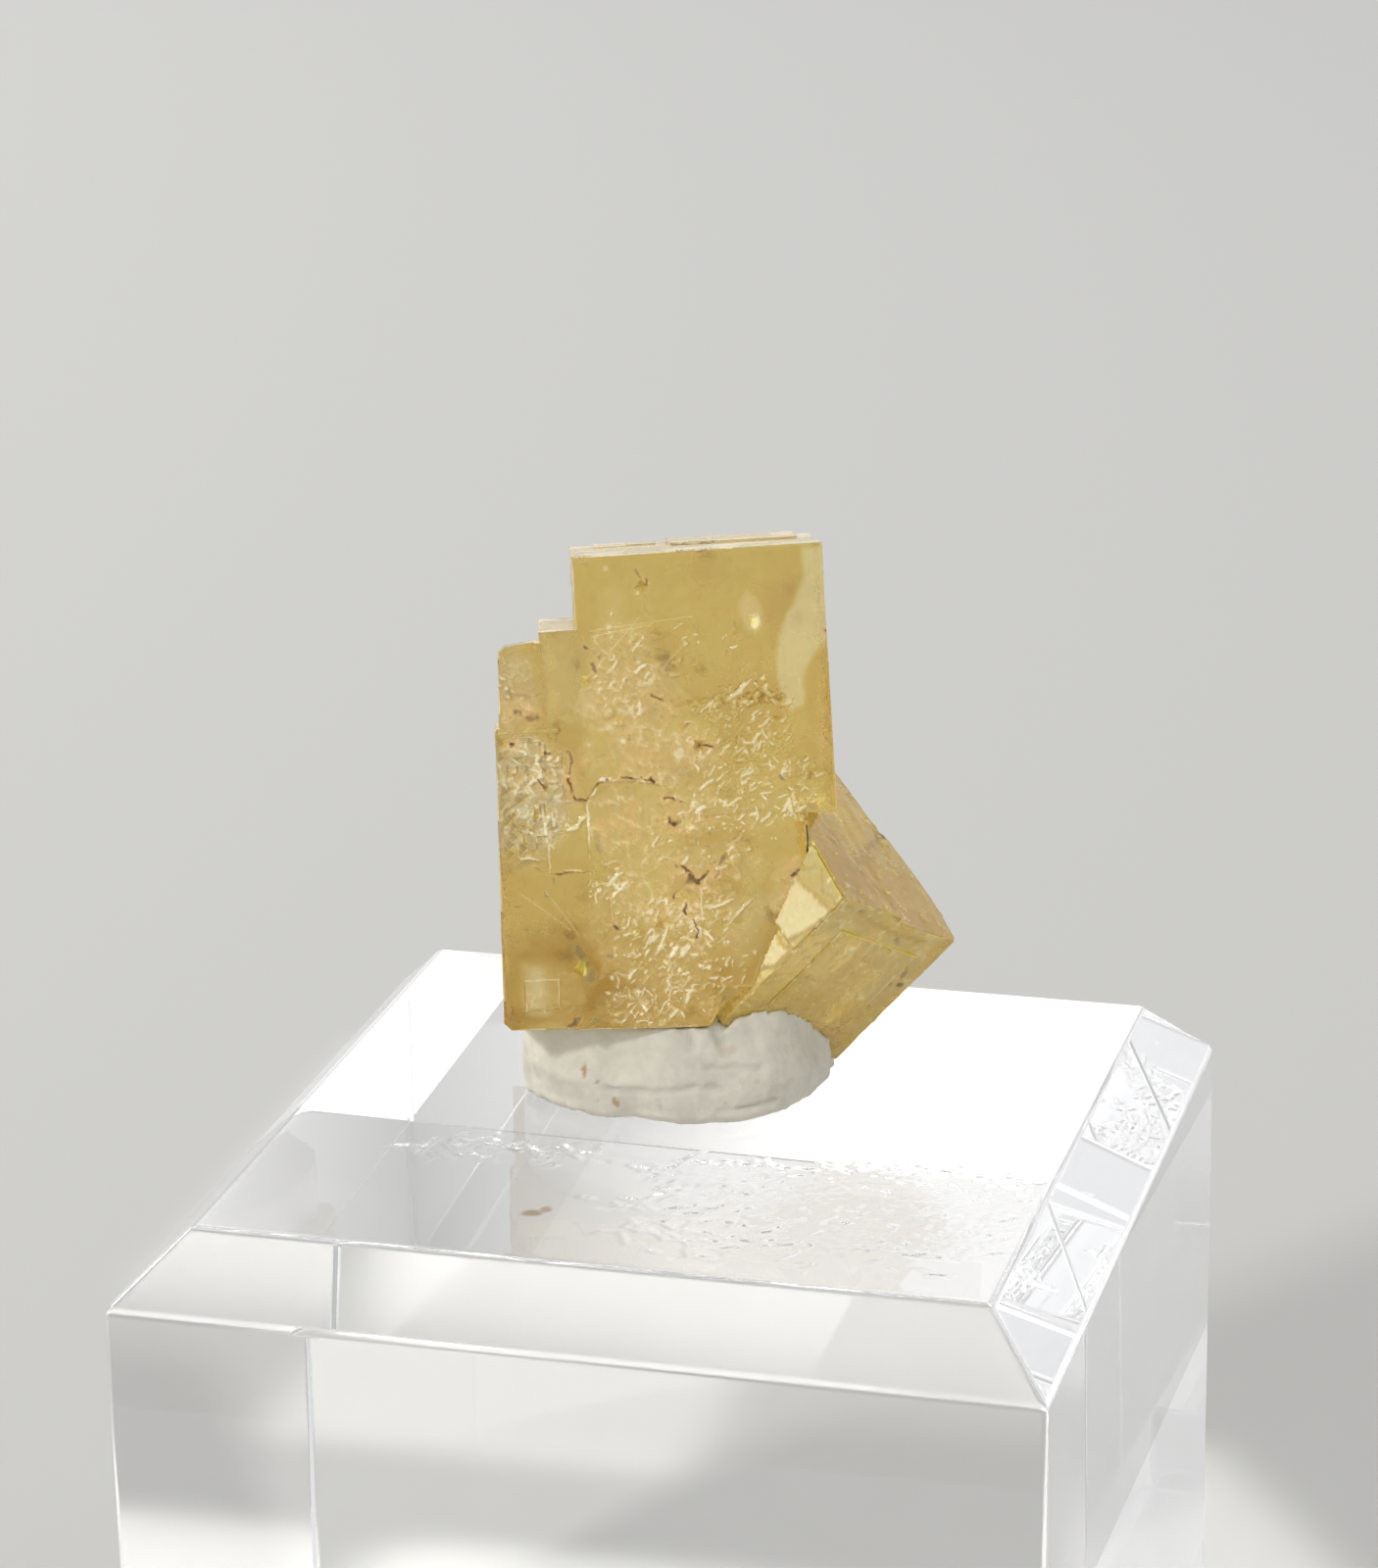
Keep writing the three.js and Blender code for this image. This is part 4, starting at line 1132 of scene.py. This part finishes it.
def build_floor():
    """A plain pale floor. A shallow lit recess under the block throws light up into it."""
    far, near, top, low = FLOOR_REACH, WELL_HALF, -FLOOR_DROP, -WELL_DEPTH
    square = ((-1, -1), (1, -1), (1, 1), (-1, 1))
    vertices = [(far * x, far * y, top) for x, y in square]
    vertices += [(near * x, near * y, top) for x, y in square]
    vertices += [(near * x, near * y, low) for x, y in square]
    faces = [(0, 1, 5, 4), (1, 2, 6, 5), (2, 3, 7, 6), (3, 0, 4, 7)]
    faces += [(4, 5, 9, 8), (5, 6, 10, 9), (6, 7, 11, 10), (7, 4, 8, 11), (8, 9, 10, 11)]
    obj = mesh_object("floor", np.array(vertices) * MM, faces)
    floor, tree, shader, _ = new_material("floor")
    shader.inputs["Base Color"].default_value = (0.52, 0.515, 0.493, 1)
    shader.inputs["Roughness"].default_value = 0.7
    obj.data.materials.append(floor)
    obj.data.materials.append(glow_material())
    for polygon in list(obj.data.polygons)[4:]:
        polygon.material_index = 1


def area_light(name, place, aim, size, radiance, spread=180, turn=0):
    """A soft rectangular light in metres, shining at a point and turned about its own axis."""
    data = bpy.data.lights.new(name, "AREA")
    data.shape = "RECTANGLE"
    data.size, data.size_y = size
    data.energy = radiance * math.pi * size[0] * size[1]
    data.spread = math.radians(spread)
    obj = linked(name, data)
    obj.location = place
    toward = Vector(aim) - Vector(place)
    facing = toward.to_track_quat("-Z", "Y").to_matrix().to_4x4()
    obj.rotation_euler = (facing @ rotation(turn, "Z")).to_euler()


def floor_light(name, x, y, size, radiance, spread, turn=0):
    """A small low light straight above one place on the floor."""
    area_light(name, (x, y, FLOOR_LIGHT_HEIGHT), (x, y, 0), size, radiance, spread, turn)


def build_world():
    """Even daylight, brighter low down all round than overhead."""
    world = bpy.data.worlds.new("studio")
    world.use_nodes = True
    tree = world.node_tree
    background = tree.nodes["Background"]
    background.inputs["Color"].default_value = (0.98, 0.985, 1.0, 1)
    axes = place_axes(tree, "Generated")
    tree.links.new(mapped(tree, axes["Z"], 0.35, 0.75, 1.05, 0.5), background.inputs["Strength"])
    scene.world = world


def light_scene():
    build_world()
    area_light("key", (-0.9, -1.65, 1.56), (0, 0, 0.035), (0.25, 0.25), 112)
    area_light("left_fill", (-0.7, 0.2, 0.5), (-0.25, 0.1, 0), (0.4, 0.4), 7)
    floor_light("floor_lift", -0.002, 0.022, (0.028, 0.006), 1.9, 4)
    floor_light("floor_lift_back", -0.021, 0.05, (0.028, 0.032), 0.5, 3)
    floor_light("floor_patch", 0.0171, 0.0175, (0.008, 0.024), 0.5, 3, turn=34)


CAMERA_PLACE = Vector((43.035, -155.236, 91.456))
CAMERA_AZIMUTH = 15.452
CAMERA_ELEVATION = 18.535
CAMERA_ROLL = -0.935
CAMERA_LENS = 113.84
SENSOR_HEIGHT = 36.0


def place_camera():
    data = bpy.data.cameras.new("camera")
    data.sensor_fit = "VERTICAL"
    data.sensor_height = SENSOR_HEIGHT
    data.lens = CAMERA_LENS
    data.clip_start = 0.01
    data.clip_end = 20
    obj = linked("camera", data)
    aim = rotation(CAMERA_AZIMUTH, "Z") @ rotation(90 - CAMERA_ELEVATION, "X") @ rotation(CAMERA_ROLL, "Z")
    obj.matrix_world = Matrix.Translation(CAMERA_PLACE * MM) @ aim
    scene.camera = obj


def set_render():
    """Enough bounces for light that is caught inside the clear block, and the plain view transform."""
    scene.cycles.max_bounces = 64
    scene.cycles.transmission_bounces = 64
    scene.cycles.glossy_bounces = 64
    scene.cycles.diffuse_bounces = 4
    scene.view_settings.view_transform = "Standard"


def dress(obj, node_name, material):
    obj.data.materials.clear()
    obj.data.materials.append(material)
    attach(obj, "root")
    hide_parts(node_name)


crystal = build_crystal()
dress(crystal, "fluorite_cluster", fluorite_material())
dress(build_pad(crystal), "putty_pad", putty_material())
dress(build_block(), "display_block", acrylic_material())
build_floor()
light_scene()
place_camera()
set_render()
